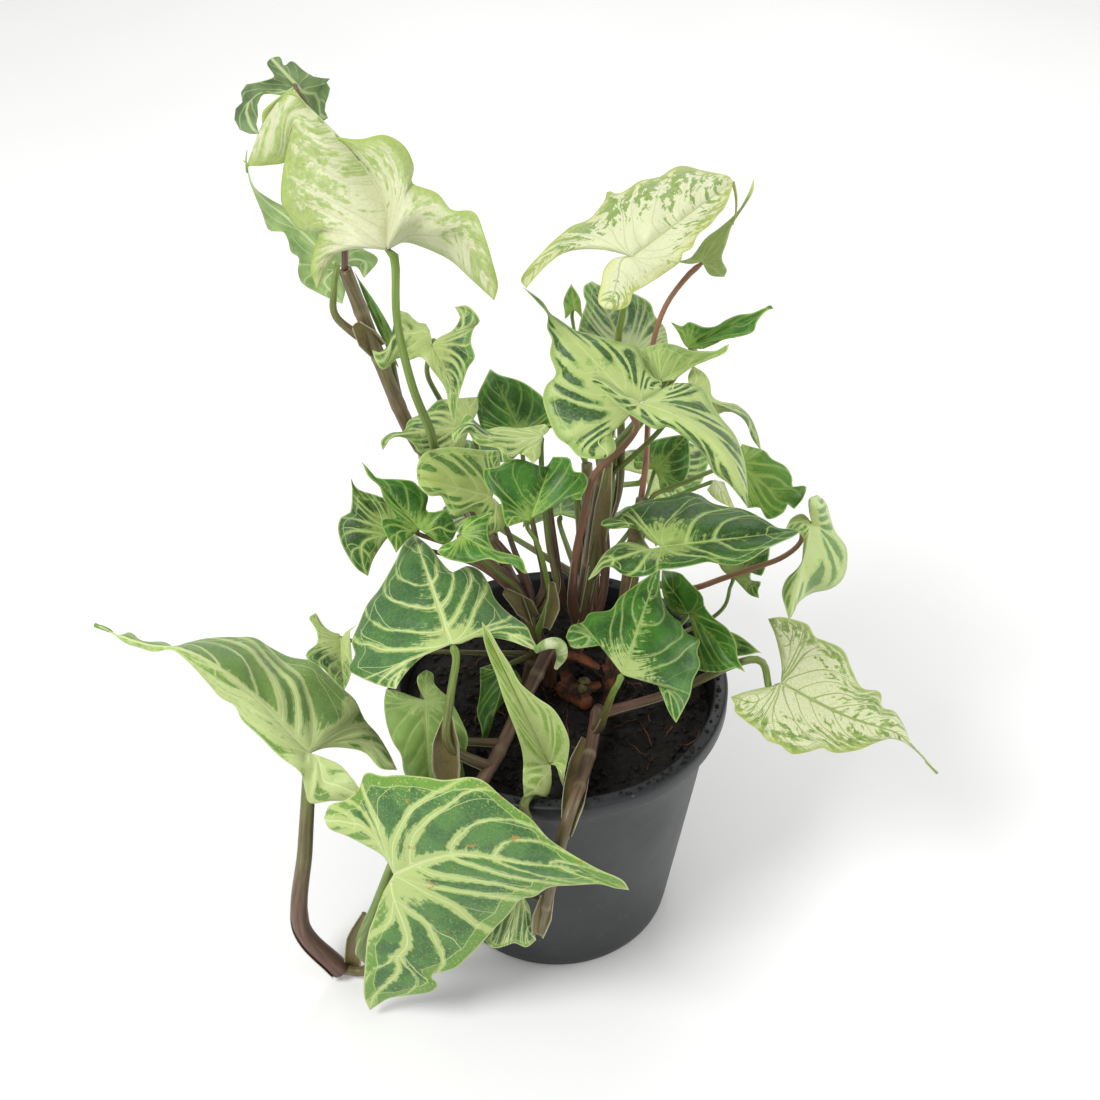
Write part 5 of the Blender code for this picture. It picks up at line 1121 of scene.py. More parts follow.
# The looks of the leaves that the photo shows well, where they differ from their slot's
LEAF_LOOKS = {
    "leaf_vine_large": LOOKS["cream"]._replace(panel="#9db35f", deep="#8ba552", flush="#cfd3ab",
                                               band="#9bb257", outer=0.8, net=0.9, speck="#8ba552",
                                               vein="#bdb897", blotches=0.62, margin="#9fb555", rag=4.0),
    "leaf_vine_top": LOOKS["green"]._replace(flush="#a0ba62", vein="#b2c66d", bleed=1.0, specks=0.6),
    "leaf_vine_behind": LOOKS["pale"]._replace(bleed=2.4, inner=0.3),
    "leaf_left_upper": LOOKS["mottled"]._replace(panel="#43693a", inner=0.2),
    "leaf_left_plain": LOOKS["green"],
    "leaf_left_pale": LOOKS["pale"]._replace(inner=1.2, flush="#b1c36f", panel="#5a8636", deep="#446e2e",
                                             ovals=0.9, dense=1.1, band="#8aac50"),
    "leaf_left_folded": LOOKS["grey"]._replace(panel="#45703f", deep="#3b6238", specks=0.8),
    "leaf_left_big": LOOKS["grey"]._replace(bleed=1.1, centre=14, rib=1.0, panel="#4b773c", deep="#3f6739",
                                            outer=0.1, specks=0.15, rag=1.6),
    "leaf_trailing_left": LOOKS["grey"]._replace(panel="#78994d", deep="#678a48", bleed=2.0, centre=14,
                                                 flush="#c0d08b", dense=1.35, rag=1.4, outer=0.5),
    "leaf_trailing_front": LOOKS["grey"]._replace(centre=20, bleed=2.3, rust=0.9, rag=1.5),
    "leaf_front_low": LOOKS["grey"]._replace(panel="#43703a", centre=4, bleed=1.0),
    "leaf_front_narrow": LOOKS["pale"]._replace(panel="#8aad4c", deep="#7aa042", flush="#bccb84", inner=1.2,
                                                dense=1.3, vein="#c9d496", ovals=0.8,
                                                band="#9fbc5c"),
    "leaf_front_dull": LOOKS["green"]._replace(panel="#7e9c4e", deep="#749347", vein="#a5bb72", sides=0.2,
                                               flush="#a6ba74", outer=0.0),
    "leaf_front_right": LOOKS["green"]._replace(flush="#b0c279", centre=14, vein="#a0ba66", rag=2.2,
                                                sides=0.3),
    "leaf_right_large": LOOKS["veined"]._replace(centre=15, bleed=0.9, rag=1.6),
    "leaf_right_cream": LOOKS["cream"]._replace(flush="#d7dab0", panel="#8aa546", deep="#5c802c", net=0.7,
                                                vein="#8fa257", sides=1.0, blotches=0.56, rib=0.9, dense=1.5,
                                                band="#a3b65c", outer=0.7),
    "leaf_right_outer": LOOKS["mottled"]._replace(panel="#5f8a3a", deep="#517c36", inner=1.2, dense=1.3,
                                                 ovals=0.9, flush="#b9ca80", band="#86a850"),
    "leaf_right_upper": LOOKS["green"]._replace(panel="#5a842d", deep="#467026", flush="#8cab50", bleed=1.0),
    "leaf_right_small": LOOKS["green"]._replace(flush="#a9bf74", centre=12),
    "leaf_middle_variegated": LOOKS["mottled"]._replace(inner=1.2, dense=1.15, ovals=0.95, flush="#b4c57b"),
    "leaf_middle_drooping": LOOKS["mottled"]._replace(inner=1.2, dense=1.2, ovals=0.9),
    "leaf_middle_cup": LOOKS["pale"]._replace(panel="#83a54b", deep="#769a43", flush="#a3ba6c"),
    "leaf_top_behind": LOOKS["mottled"]._replace(panel="#4a6a45", deep="#3f5f40", flush="#b6c392", bleed=1.0,
                                                 inner=0.1, dense=1.6),
    "leaf_top_narrow": LOOKS["pale"],
    "leaf_top_cream": LOOKS["cream"]._replace(blotches=0.56, band="#c9cd70", panel="#7f9b3d"),
    "leaf_top_right_green": LOOKS["green"]._replace(panel="#4b8528", deep="#376820"),
}

# The looks that have an underside of their own, and the leaf whose underside isn't its slot's
LOWER_SIDES = "green", "veined", "mottled", "cream", "pale"
LOWER_LOOKS = {"leaf_top_narrow": "pale"}

# How pinkish a stalk is, and how many times thicker than usual
PINK_STALKS = {"leaf_top_narrow": 0.85, "leaf_right_outer": 0.7, "leaf_middle_drooping": 0.4}
STALK_WIDER = {"leaf_trailing_left": 1.5, "leaf_trailing_front": 1.15}

# Dried sheaths round the cut stem: landmarks along each, and half its width in mm
HUSKS = (
    (((524, 652, 6), (548, 653, 3), (574, 655, 0), (600, 668, -2)), 2.2),
    (((562, 664, 0), (568, 680, -3), (582, 690, -6), (600, 684, -6)), 2.6),
    (((548, 712, -3), (562, 716, -8), (580, 720, -10), (602, 716, -8)), 3.0),
    (((604, 664, 0), (610, 678, -3), (608, 694, -6), (602, 708, -7)), 2.0),
)
CUT_STEM = (560, 688, 4), (574, 696, -3), (588, 703, -10)
CUT_STEM_RADIUS = 3.2

# The pale lobe of a left leaf that curls over: landmarks along it, and its half widths in mm
LOBE_CURL = (536, 650, -50), (547, 644, -51), (558, 644, -50), (562, 655, -47), (556, 668, -46)
LOBE_CURL_HALVES = 1.2, 2.0, 2.3, 1.9, 0.6

# The shoots with a crown of stalks packed round their stems, from which share of the stem up, where those
# stalks start beside it, how far round it they spread, and how many steps that adds to a stalk's line
CROWN_SHOOTS = "shoot_centre", "shoot_right", "shoot_back"
CROWN_FROM = 0.6
CROWN_FOOT_RANGE = 0.22, 0.4
CROWN_SPREAD = 0.9
CROWN_STEPS = 14

# How brown each stalk is, from its foot to its blade, where it isn't the usual
USUAL_BROWN = 0.75, 0.2
STALK_BROWN = {
    "leaf_left_dark": (0.0, 0.0),
    "leaf_right_outer": (0.6, 0.5),
    "leaf_trailing_front": (0.1, 0.0),
    "leaf_vine_top": (0.9, 0.7),
    "leaf_top_narrow": (0.7, 0.5),
    "leaf_vine_large": (0.65, 0.1),
    "leaf_middle_drooping": (1.0, 0.7),
    "leaf_left_outer": (0.9, 0.7),
    "leaf_left_small": (0.9, 0.6),
    "leaf_left_pale": (0.8, 0.5),
    "leaf_left_plain": (0.8, 0.5),
    "leaf_right_cream": (0.9, 0.2),
    "leaf_trailing_left": (0.9, 0.4),
}


class UpperSide(Graph):
    """The upper side of a blade, drawn from the measures on its points."""

    def __init__(self, blade, look):
        super().__init__(f"{blade.name} upper", 0.42)
        self.look = look
        self.length = float(np.linalg.norm(blade_frame(blade)[1]))
        self.seed = random.Random(blade.name).uniform(0, 50)
        self.out = self.measure("out")
        self.margin = self.measure("margin")
        self.reach = self.measure("reach")
        self.middle = self.from_main_veins()
        self.gap = self.maths("DIVIDE", self.measure("gap"), look.dense)
        self.near = self.fade(self.reach, 0.0, 0.85 * self.length)
        self.bits = self.noise(420, 3, 0.6)

        # Side veins wander a little, and each has a strength of its own
        drift = self.noise(70, 2)
        self.rank = self.scaled(self.measure("rank"), look.dense, self.swing(drift, 0.3))
        whole = self.maths("ROUND", self.rank)
        strength = self.chance(self.scaled(self.measure("side"), 17.0, self.plus(whole, self.seed)))
        self.strength = self.scaled(strength, 0.6, 0.5)
        self.from_whole = self.apart(self.rank, whole)
        self.beside = self.times(self.from_whole, self.gap)

        # A line along the margin joins their ends in loops
        bows = self.scaled(self.from_whole, -0.03 * self.length, 0.05 * self.length + 1.4)
        self.past_loop = self.minus(self.margin, self.plus(bows, self.swing(drift, 4.0)))

    def flush(self):
        """How pale a point is: pale at the stalk's end and along the veins, with an edge of fine teeth."""
        look = self.look
        stretched = self.vector(self.times(self.reach, 0.05), self.times(self.rank, 4.5), self.seed)
        teeth = self.noise(2.0, 4, 0.75, vector=stretched)
        ragged = self.plus(self.swing(teeth, 9.0 * look.rag), self.swing(self.bits, 5.0 * look.rag))
        by_main = self.minus(self.scaled(self.near, 1.3 * look.bleed, 0.45 * look.bleed), self.middle)
        side_reach = self.times(self.scaled(self.near, 1.2 * look.bleed, 0.25 * look.bleed), self.strength)
        by_side = self.minus(side_reach, self.beside)
        by_centre = self.scaled(self.reach, -0.8, 0.6 * look.centre)
        by_share = self.scaled(self.out, -0.3 * self.length, 0.3 * self.length * look.inner)
        broad = self.scaled(ragged, 1.5, self.larger(by_centre, by_share))
        slim = self.scaled(ragged, 0.35 * min(1.0, look.bleed / 1.6), self.larger(by_main, by_side))
        return self.larger(self.fade(broad, 2.6, -2.2), self.fade(slim, 0.8, -0.7))

    def lines(self):
        """The veins, which thin out and fork, and the looping line that joins their ends."""
        rib = self.look.rib
        taper = self.scaled(self.near, 0.7, 0.3)
        rib_line = self.fade(self.maths("DIVIDE", self.middle, taper), 0.25 * rib, 0.65 * rib)
        slimness = self.times(taper, self.strength)
        side_line = self.fade(self.maths("DIVIDE", self.beside, slimness), 0.15 * rib, 0.5 * rib)
        spread = self.times(self.fade(self.out, 1.0, 0.4), 0.5)
        fork = self.apart(self.maths("FRACT", self.rank), spread)
        fork_line = self.fade(self.times(fork, self.gap), 0.05 * rib, 0.3 * rib)
        fork_line = self.times(fork_line, self.fade(self.out, 0.5, 0.38))
        side_line = self.larger(side_line, self.times(fork_line, 0.8))
        side_line = self.times(side_line, self.fade(self.past_loop, 0.2, -1.2))
        loop_line = self.fade(self.maths("ABSOLUTE", self.past_loop), 0.05 * rib, 0.34 * rib)
        side_line = self.larger(side_line, self.times(loop_line, 0.6))
        return self.larger(rib_line, self.times(side_line, self.look.sides))

    def panels(self):
        """The two tones between the veins."""
        return self.mix(self.fade(self.bits, 0.6, 0.4), self.look.deep, self.look.panel)

    def add_ovals(self, colour):
        """Dark ovals in rows between the side veins, with a livelier green round them."""
        row = self.fade(self.apart(self.out, 0.62), 0.08, 0.4)
        oval = self.times(row, self.fade(self.from_whole, 0.46, 0.04))
        uneven = self.plus(self.swing(self.bits, 1.0), self.swing(self.noise(110, 3), 1.3))
        oval = self.plus(oval, uneven)
        edging = self.larger(self.fade(oval, 0.35, 0.1), self.fade(self.margin, 0.8, 4.0))
        colour = self.cover(colour, edging, 0.55, self.look.band)
        return self.cover(colour, self.fade(oval, 0.56, 0.4), self.look.ovals, self.panels())

    def add_blotches(self, colour):
        """Ragged green blotches between the side veins, more of them towards the margin."""
        look = self.look
        stretched = self.vector(self.times(self.reach, 0.12), self.times(self.rank, 1.6), self.seed + 9)
        spotty = self.noise(2.4, 4, 0.65, vector=stretched)
        between = self.fade(self.from_whole, 0.3, 0.05)
        level = self.plus(self.scaled(between, 0.12, spotty), self.times(self.out, 0.14))
        at_stalk = self.fade(self.reach, 0.1 * self.length, 0.5 * self.length)
        level = self.plus(level, self.times(at_stalk, -0.2))
        edge = 1.06 - 0.7 * look.blotches
        blotch = self.fade(level, edge + 0.022 * look.rag, edge - 0.022 * look.rag)
        colour = self.cover(colour, blotch, 0.9, self.panels())
        return self.cover(colour, self.fade(self.margin, 0.5, 5.0), look.outer, look.band)

    def skin(self):
        """The blade's material, from its panels up to its veins, its margin and its relief."""
        look = self.look
        lines = self.lines()
        colour = self.mix(self.fade(self.noise(90, 3), 0.62, 0.38), look.deep, look.panel)
        band = self.fade(self.plus(self.past_loop, self.swing(self.bits, 5.0)), -1.0, 2.0)
        colour = self.cover(colour, band, look.outer, look.band)
        colour = self.cover(colour, self.flush(), 0.94, look.flush)
        if look.ovals:
            colour = self.add_ovals(colour)
        if look.blotches:
            colour = self.add_blotches(colour)
        speck = self.times(self.fade(self.noise(900, 3, 0.7), 0.64, 0.58), self.fade(self.out, 1.0, 0.3))
        colour = self.cover(colour, speck, look.specks, look.speck)
        colour = self.cover(colour, self.fade(self.cells(480), 0.03, 0.09), 0.35 * look.net, look.vein)
        colour = self.mix(lines, colour, look.vein)
        colour = self.cover(colour, self.fade(self.margin, 0.25, 0.8), 0.9, look.margin)
        if look.rust:
            spots = self.fade(self.noise(190, 4, 0.75), 0.67, 0.635)
            colour = self.cover(colour, spots, look.rust, "#b08a3c")

        # The veins lie in grooves, and the skin between them is finely pebbled
        height = self.scaled(lines, -0.7, self.times(self.noise(1500, 2), 0.5))
        sheen = self.scaled(self.noise(260, 2), 0.2, 0.36)
        self.shader.inputs["Specular IOR Level"].default_value = 0.3
        return self.finish(colour, height, 0.00025, 0.5, sheen)


def lower_material(name, look):
    """The duller underside that leaves of one look share, with its raised veins."""
    graph = Graph(f"leaf {name} underside", 0.6)
    beside = graph.apart(graph.maths("FRACT", graph.plus(graph.measure("rank"), 0.5)), 0.5)
    rib_line = graph.fade(graph.from_main_veins(), 0.3, 1.1)
    lines = graph.larger(rib_line, graph.times(graph.fade(beside, 0.02, 0.08), 0.6))
    panel = graph.mix(0.4, look.panel, "#9db37e")
    deep = graph.mix(0.35, look.deep, "#869f68")
    colour = graph.mix(graph.fade(graph.noise(110, 3), 0.6, 0.4), deep, panel)
    pale = graph.fade(graph.noise(160, 4, 0.6), 0.62, 0.42)
    colour = graph.cover(colour, pale, min(0.12 * look.bleed, 0.7), look.flush)
    colour = graph.cover(colour, lines, 0.75, graph.mix(0.5, look.vein, "#b9cc94"))
    height = graph.plus(lines, graph.times(graph.noise(1200, 2), 0.4))
    return graph.finish(colour, height, 0.0003, 0.5)


def stem_material():
    """Stems, stalks and sheaths: green to purple-brown along them, pale at their thin edges."""
    graph = Graph("stem skin", 0.45)
    husk = graph.measure("husk")
    round_it = graph.times(graph.measure("turn"), 2.4)
    along_it = graph.times(graph.measure("along"), 0.5)
    streaks = graph.noise(3.0, 4, 0.6, vector=graph.vector(round_it, along_it, 0.0))
    streaky = graph.fade(streaks, 0.65, 0.35)
    green = graph.mix(streaky, "#62792f", "#7b963f")
    purple = graph.mix(streaky, "#553b30", "#745547")
    share = graph.plus(graph.measure("brown"), graph.swing(graph.noise(60, 2), 0.3))
    colour = graph.mix(graph.fade(share, 0.85, 0.15), green, purple)
    colour = graph.mix(graph.measure("pink"), colour, "#a8735c")
    colour = graph.cover(colour, graph.measure("inside"), 0.35, "#93a268")
    colour = graph.cover(colour, husk, 0.6, "#8a7850")
    specks = graph.fade(graph.noise(1300, 3, 0.7), 0.64, 0.58)
    colour = graph.cover(colour, specks, graph.scaled(husk, 0.4, 0.2), "#4a3a2c")
    colour = graph.cover(colour, graph.fade(graph.measure("edge"), 0.96, 0.74), 0.85, "#cfcfae")
    colour = graph.mix(graph.measure("ring"), colour, "#a89a74")
    height = graph.scaled(streaks, 0.5, graph.times(graph.noise(1500, 2), 0.2))
    return graph.finish(colour, height, 0.0001, 0.3)


def pot_material():
    """Charcoal plastic with a soft sheen, faint scuffs and a little dried soil."""
    graph = Graph("pot plastic", 0.45)
    cloudy = graph.noise(26, 4)
    colour = graph.mix(graph.fade(cloudy, 0.65, 0.35), "#232529", "#1c1e21")
    scuffs = graph.fade(graph.noise(420, 5, 0.75, 0.6), 0.70, 0.62)
    colour = graph.cover(colour, scuffs, 0.35, "#7b7c7d")
    dust = graph.fade(graph.noise(900, 4, 0.8), 0.68, 0.63)
    colour = graph.cover(colour, dust, 0.5, "#5c5044")
    height = graph.plus(graph.noise(60, 2), graph.times(graph.noise(1600, 3), 0.25))
    return graph.finish(colour, height, 0.0006, 0.35, graph.scaled(cloudy, 0.25, 0.32))


def soil_material():
    """Damp dark potting mix."""
    graph = Graph("soil", 0.9)
    grain = graph.noise(420, 5, 0.7)
    colour = graph.mix(graph.fade(grain, 0.62, 0.4), "#1b1511", "#0c0a08")
    bits = graph.fade(graph.noise(800, 3, 0.7), 0.68, 0.64)
    colour = graph.cover(colour, bits, 0.7, "#4a3828")
    return graph.finish(colour, grain, 0.0012, 0.8)


def fibre_material():
    """Dry rust-brown roots and bark strips."""
    graph = Graph("dry fibre", 0.85)
    colour = graph.mix(graph.fade(graph.noise(180, 3), 0.65, 0.35), "#74482f", "#3d281d")
    return graph.finish(colour, graph.noise(900, 3), 0.0004, 0.6)


def husk_material():
    """Papery dried sheaths, orange-brown with dark streaks."""
    graph = Graph("dried sheath", 0.7)
    colour = graph.mix(graph.fade(graph.noise(150, 4, 0.7), 0.6, 0.4), "#7c4521", "#2b1a12")
    return graph.finish(colour, graph.noise(700, 3), 0.0004, 0.6)


def floor_material():
    """A floor that is nearly white."""
    graph = Graph("pale floor", 0.8)
    return graph.finish(graph.mix(graph.fade(graph.noise(3, 2), 0.7, 0.3), "#fbfbfa", "#f7f7f6"))


def make_leaf(blade, lower_materials):
    """A leaf's fine blade, with the drip or curl at its tip. Returns the normal at its stalk."""
    points, faces, lower, measures, square = blade_mesh(blade)
    if blade.name in TAILS:
        marks, radius = TAILS[blade.name]
        line = marked_curve([blade.tip, *marks], TAIL_STEPS)
        radii = radius * (1 - 0.75 * np.linspace(0, 1, TAIL_STEPS + 1))
        tail_points, tail_faces, along = tube(line, radii, TAIL_SIDES)
        own = {"reach": FAR, "rib": NO_VEIN, "lobe": NO_VEIN, "gap": NO_VEIN, "margin": 1.2,
               "rank": 0.4 + 0.2 * along, "out": 1.0, "side": 0.0}
        points, faces, measures = join_shapes([(points, faces, measures), (tail_points, tail_faces, own)])
        lower = lower + [0] * len(tail_faces)
    upper = UpperSide(blade, LEAF_LOOKS.get(blade.name, LOOKS[blade.look])).skin()
    materials = [upper, lower_materials[LOWER_LOOKS.get(blade.name, blade.look)]]
    new_piece(blade.name.replace("leaf_", "blade_"), points, faces, materials,
              [blade.name], lower, measures)
    return square


def stem_radii(shoot, line):
    """Radii along a stem, with a slight swelling at each of its rings, and how near each point is to one."""
    along = travel(line)
    radii = shoot.radius * (1 - 0.25 * along / along[-1])
    to_ring = np.abs((along / RING_GAP + 0.5) % 1 - 0.5) * RING_GAP
    swell = np.exp(-(to_ring / RING_SWELL_REACH) ** 2)
    return radii * (1 + RING_SWELL * swell), np.exp(-(to_ring / RING_MARK_REACH) ** 2)


def round_share(sides, count):
    """How far round a tube each of its points is, from 0 in the middle of one side to 1 where it closes."""
    return np.tile(np.abs(np.arange(sides) / sides - 0.5) * 2, count)


def stem_shape(shoot):
    """A shoot's stem: its line, and its shape with the measures that its skin is drawn from."""
    line = stem_line(shoot)
    radii, rings = stem_radii(shoot, line)
    vertices, faces, along = tube(line, radii, STEM_SIDES)
    measures = {"along": along * len(line) / 10, "brown": 0.85 - 0.25 * along,
                "turn": round_share(STEM_SIDES, len(line)), "ring": 0.6 * np.repeat(rings, STEM_SIDES)}
    return line, (vertices, faces, measures)


def beside_stem(blade, shoot, stem, line):
    """A stalk's line lengthened down beside its stem, as the stalks of a crown stand packed round it."""
    draw = random.Random(blade.name + " foot")
    foot = draw.uniform(*CROWN_FOOT_RANGE)
    last = round(blade.node * (len(stem) - 1))
    first = min(round(foot * (len(stem) - 1)), last - 3)
    along = stem[first:last - 1:4]
    way = unit(stem[last] - stem[first])
    leaving = line[6] - line[0]
    side = unit(leaving - way * (leaving @ way))
    around = np.cross(way, side)
    spread = draw.uniform(-CROWN_SPREAD, CROWN_SPREAD)
    side = math.cos(spread) * side + math.sin(spread) * around
    away = 0.8 * shoot.radius + stalk_size(blade)
    share = np.linspace(0, 1, len(along))[:, None]
    below = along + away * (0.6 + 0.6 * share) * side
    return smooth_curve(np.vstack([below, line[4::4]]), STALK_STEPS + CROWN_STEPS)


def stalk_sheath(line, thin, foot):
    """The open sheath round the lower part of a stalk, as brown as its foot."""
    last = max(6, round(SHEATH_SHARE * len(line)))
    places = np.linspace(0, 1, TROUGH_STEPS + 1)
    closing = 1 - 0.6 * smooth_step((places - 0.85) / 0.15)
    half = SHEATH_WIDTH * thin * (1.15 - 0.55 * places ** 2) * closing
    opening = np.array([*(line[0] - line[-1])[:2], 0.4 * travel(line)[-1]])
    points, faces, along, edge, inside = trough(smooth_curve(line[:last:2], TROUGH_STEPS), half,
                                                TROUGH_THICKNESS, opening)
    return points, faces, {"along": along * 2, "brown": foot - 0.15 * along, "edge": edge, "inside": inside,
                           "turn": edge}


def stalk_shapes(blade, shoot, stem, square):
    """A stalk, and the sheath round it unless it is short."""
    line = stalk_line(blade, stem, square)
    if shoot.name in CROWN_SHOOTS and blade.node > CROWN_FROM:
        line = beside_stem(blade, shoot, stem, line)
    thin = stalk_size(blade) * STALK_WIDER.get(blade.name, 1.0)
    share = np.linspace(0, 1, len(line))
    radii = thin * (1 + 0.7 * (1 - share) ** 1.5 + 0.18 * np.exp(-((share - 0.97) / 0.03) ** 2))
    radii[-1] = 0.6 * thin
    vertices, faces, along = tube(line, radii, STALK_SIDES)
    foot, head = STALK_BROWN.get(blade.name, USUAL_BROWN)
    measures = {"along": along * 4, "brown": foot + (head - foot) * along,
                "turn": round_share(STALK_SIDES, len(line)), "pink": PINK_STALKS.get(blade.name, 0.0)}
    shapes = [(vertices, faces, measures)]
    if travel(line)[-1] > SHORT_STALK:
        shapes.append(stalk_sheath(line, thin, foot))
    return shapes


def old_stalk_shape(stalk):
    """A leafless stalk, brown and a little thinner at its end."""
    line = marked_curve(stalk.line, STALK_STEPS)
    vertices, faces, along = tube(line, stalk.radius * np.linspace(1, 0.7, len(line)), STALK_SIDES)
    return vertices, faces, {"along": along * 4, "brown": 0.95 - 0.3 * along,
                             "turn": round_share(STALK_SIDES, len(line))}


def gutter(marks, widths, thickness, sense=1):
    """A trough along landmarks, with half widths spread along it, that opens to the camera or away."""
    line = marked_curve(marks, TROUGH_STEPS)
    shares = np.linspace(0, 1, len(widths))
    half = np.interp(np.linspace(0, 1, TROUGH_STEPS + 1), shares, widths)
    return trough(line, half, thickness, sense * (CAMERA_PLACE - line.mean(axis=0)))


def sheath_shape(sheath):
    """One of the broad boat-shaped sheaths that the photo shows open."""
    points, faces, along, edge, _ = gutter(sheath.line, sheath.half_widths, 0.7)
    return points, faces, {"along": along, "brown": 0.62 - 0.12 * along, "edge": edge, "turn": edge,
                           "husk": 1.0}


def make_shoot(shoot, squares, material):
    """A leafy shoot: its stem, its leaf stalks and their sheaths."""
    line, stem = stem_shape(shoot)
    shapes = [stem]
    for blade in BLADES:
        if blade.shoot == shoot.name:
            shapes += stalk_shapes(blade, shoot, line, squares[blade.name])
    shapes += [old_stalk_shape(stalk) for stalk in OLD_STALKS if stalk.shoot == shoot.name]
    shapes += [sheath_shape(sheath) for sheath in SHEATHS if sheath.shoot == shoot.name]
    vertices, faces, measures = join_shapes(shapes)
    new_piece(f"{shoot.name}_fine", vertices, faces, [material], [shoot.name], None, measures)


def make_husks(material):
    """The dried sheaths round the cut stem and the dark rim of its end."""
    shapes = []
    share = np.linspace(0, 1, TROUGH_STEPS + 1)
    for marks, half_width in HUSKS:
        half = half_width * np.sin(math.pi * (0.12 + 0.8 * share)) ** 0.6
        points, faces, *_ = gutter(marks, half, 0.5)
        shapes.append((points, faces, {}))
    radii = np.full(TROUGH_STEPS + 1, CUT_STEM_RADIUS)
    radii[-1] = CUT_STEM_RADIUS - 0.5
    points, faces, _ = tube(marked_curve(CUT_STEM, TROUGH_STEPS), radii, STEM_SIDES)
    shapes.append((points, faces, {}))
    vertices, faces, _ = join_shapes(shapes)
    new_piece("stub_husks", vertices, faces, [material])


def make_lobe_curl(material):
    """The end of a left leaf's lobe, which curls over and shows its pale underside."""
    points, faces, *_ = gutter(LOBE_CURL, LOBE_CURL_HALVES, 0.6, -1)
    measures = {"rib": np.full(len(points), NO_VEIN), "lobe": np.full(len(points), NO_VEIN),
                "rank": np.full(len(points), 0.5)}
    new_piece("left_lobe_curl", points, faces, [material], measures=measures)


def turned(profile, sides):
    """Vertices and faces of a profile turned about Z; its ends on the axis are single points."""
    angles = np.arange(sides) * 2 * math.pi / sides
    vertices = []
    rings = []
    for radius, height in profile:
        if radius == 0:
            rings.append([len(vertices)] * sides)
            vertices.append((0, 0, height))
        else:
            rings.append(list(range(len(vertices), len(vertices) + sides)))
            vertices += [(radius * math.cos(a), radius * math.sin(a), height) for a in angles]
    faces = []
    for here, after in zip(rings, rings[1:]):
        for i in range(sides):
            k = (i + 1) % sides
            face = list(dict.fromkeys((here[i], here[k], after[k], after[i])))
            if len(face) > 2:
                faces.append(face)
    return np.array(vertices, float), faces


def make_pot(material):
    """The pot's fine cup with rounded edges, a ledge inside its rim and a raised ring under its floor."""
    under = POT_HEIGHT - RIM_DROP
    wall = pot_wall_radius(under)
    underside = [(0, 0.2), (14, 0.2), (14.6, 1.2), (38, 1.2), (38.6, 0.1)]
    foot = [(BASE_RADIUS - 2, 0), (BASE_RADIUS - 0.7, 0.4), (BASE_RADIUS, 1.6)]
    side = [(pot_wall_radius(height), height) for height in np.linspace(6, under - 2, 14)]
    side += [(wall + 0.2, under - 0.6), (wall + 0.9, under)]
    flange = [(RIM_RADIUS - 1.2, under + 0.2), (RIM_RADIUS - 0.4, under + 0.6), (RIM_RADIUS, under + 1.4)]
    flange += [(RIM_RADIUS - back, POT_HEIGHT - down)
               for back, down in ((0, 1.6), (0.3, 0.7), (1, 0.1), (1.8, 0))]
    mouth = [(MOUTH_RADIUS + out, POT_HEIGHT - down)
             for out, down in ((1.4, 0), (0.6, 0.2), (0.1, 1), (0, 4.5), (-0.4, 5.3))]
    inside = [(wall - WALL + 0.2, POT_HEIGHT - 5.8), (wall - WALL, POT_HEIGHT - 7),
              (pot_wall_radius(70) - WALL, 70), (BASE_RADIUS - WALL, 4),
              (BASE_RADIUS - WALL - 1, 2.6), (0, 2.4)]
    vertices, faces = turned(underside + foot + side + flange + mouth + inside, POT_SIDES)

    # The thin wall is a little out of round towards its rim
    angle = np.arctan2(vertices[:, 1], vertices[:, 0])
    high = smooth_step((vertices[:, 2] - 20) / 100)
    dent = 0.35 * np.sin(3 * angle + 0.8) + 0.22 * np.sin(5 * angle + 2.1 + vertices[:, 2] / 30)
    vertices[:, :2] *= (1 + high * dent / RIM_RADIUS)[:, None]
    new_piece("pot_fine", vertices, faces, [material], ["pot"])


def soil_radius(height):
    """The soil's radius at a height, a little clear of the pot's wall."""
    return pot_wall_radius(height) - WALL - SOIL_GAP


def ground_waves():
    """The rates, directions and phases of the small waves that make the soil's surface uneven."""
    draw = np.random.default_rng(7).uniform
    return [(draw(*WAVE_RATES), draw(0, 2 * math.pi), draw(0, 2 * math.pi)) for _ in range(WAVE_COUNT)]


def ground(x, y, waves):
    """The soil's height at a place."""
    height = SOIL_TOP + SOIL_DOME * (1 - (x * x + y * y) / soil_radius(SOIL_TOP) ** 2)
    for rate, turn, phase in waves:
        across = x * math.cos(turn) + y * math.sin(turn)
        height = height + 0.16 / rate ** 0.6 * np.sin(rate * across + phase)
    return height


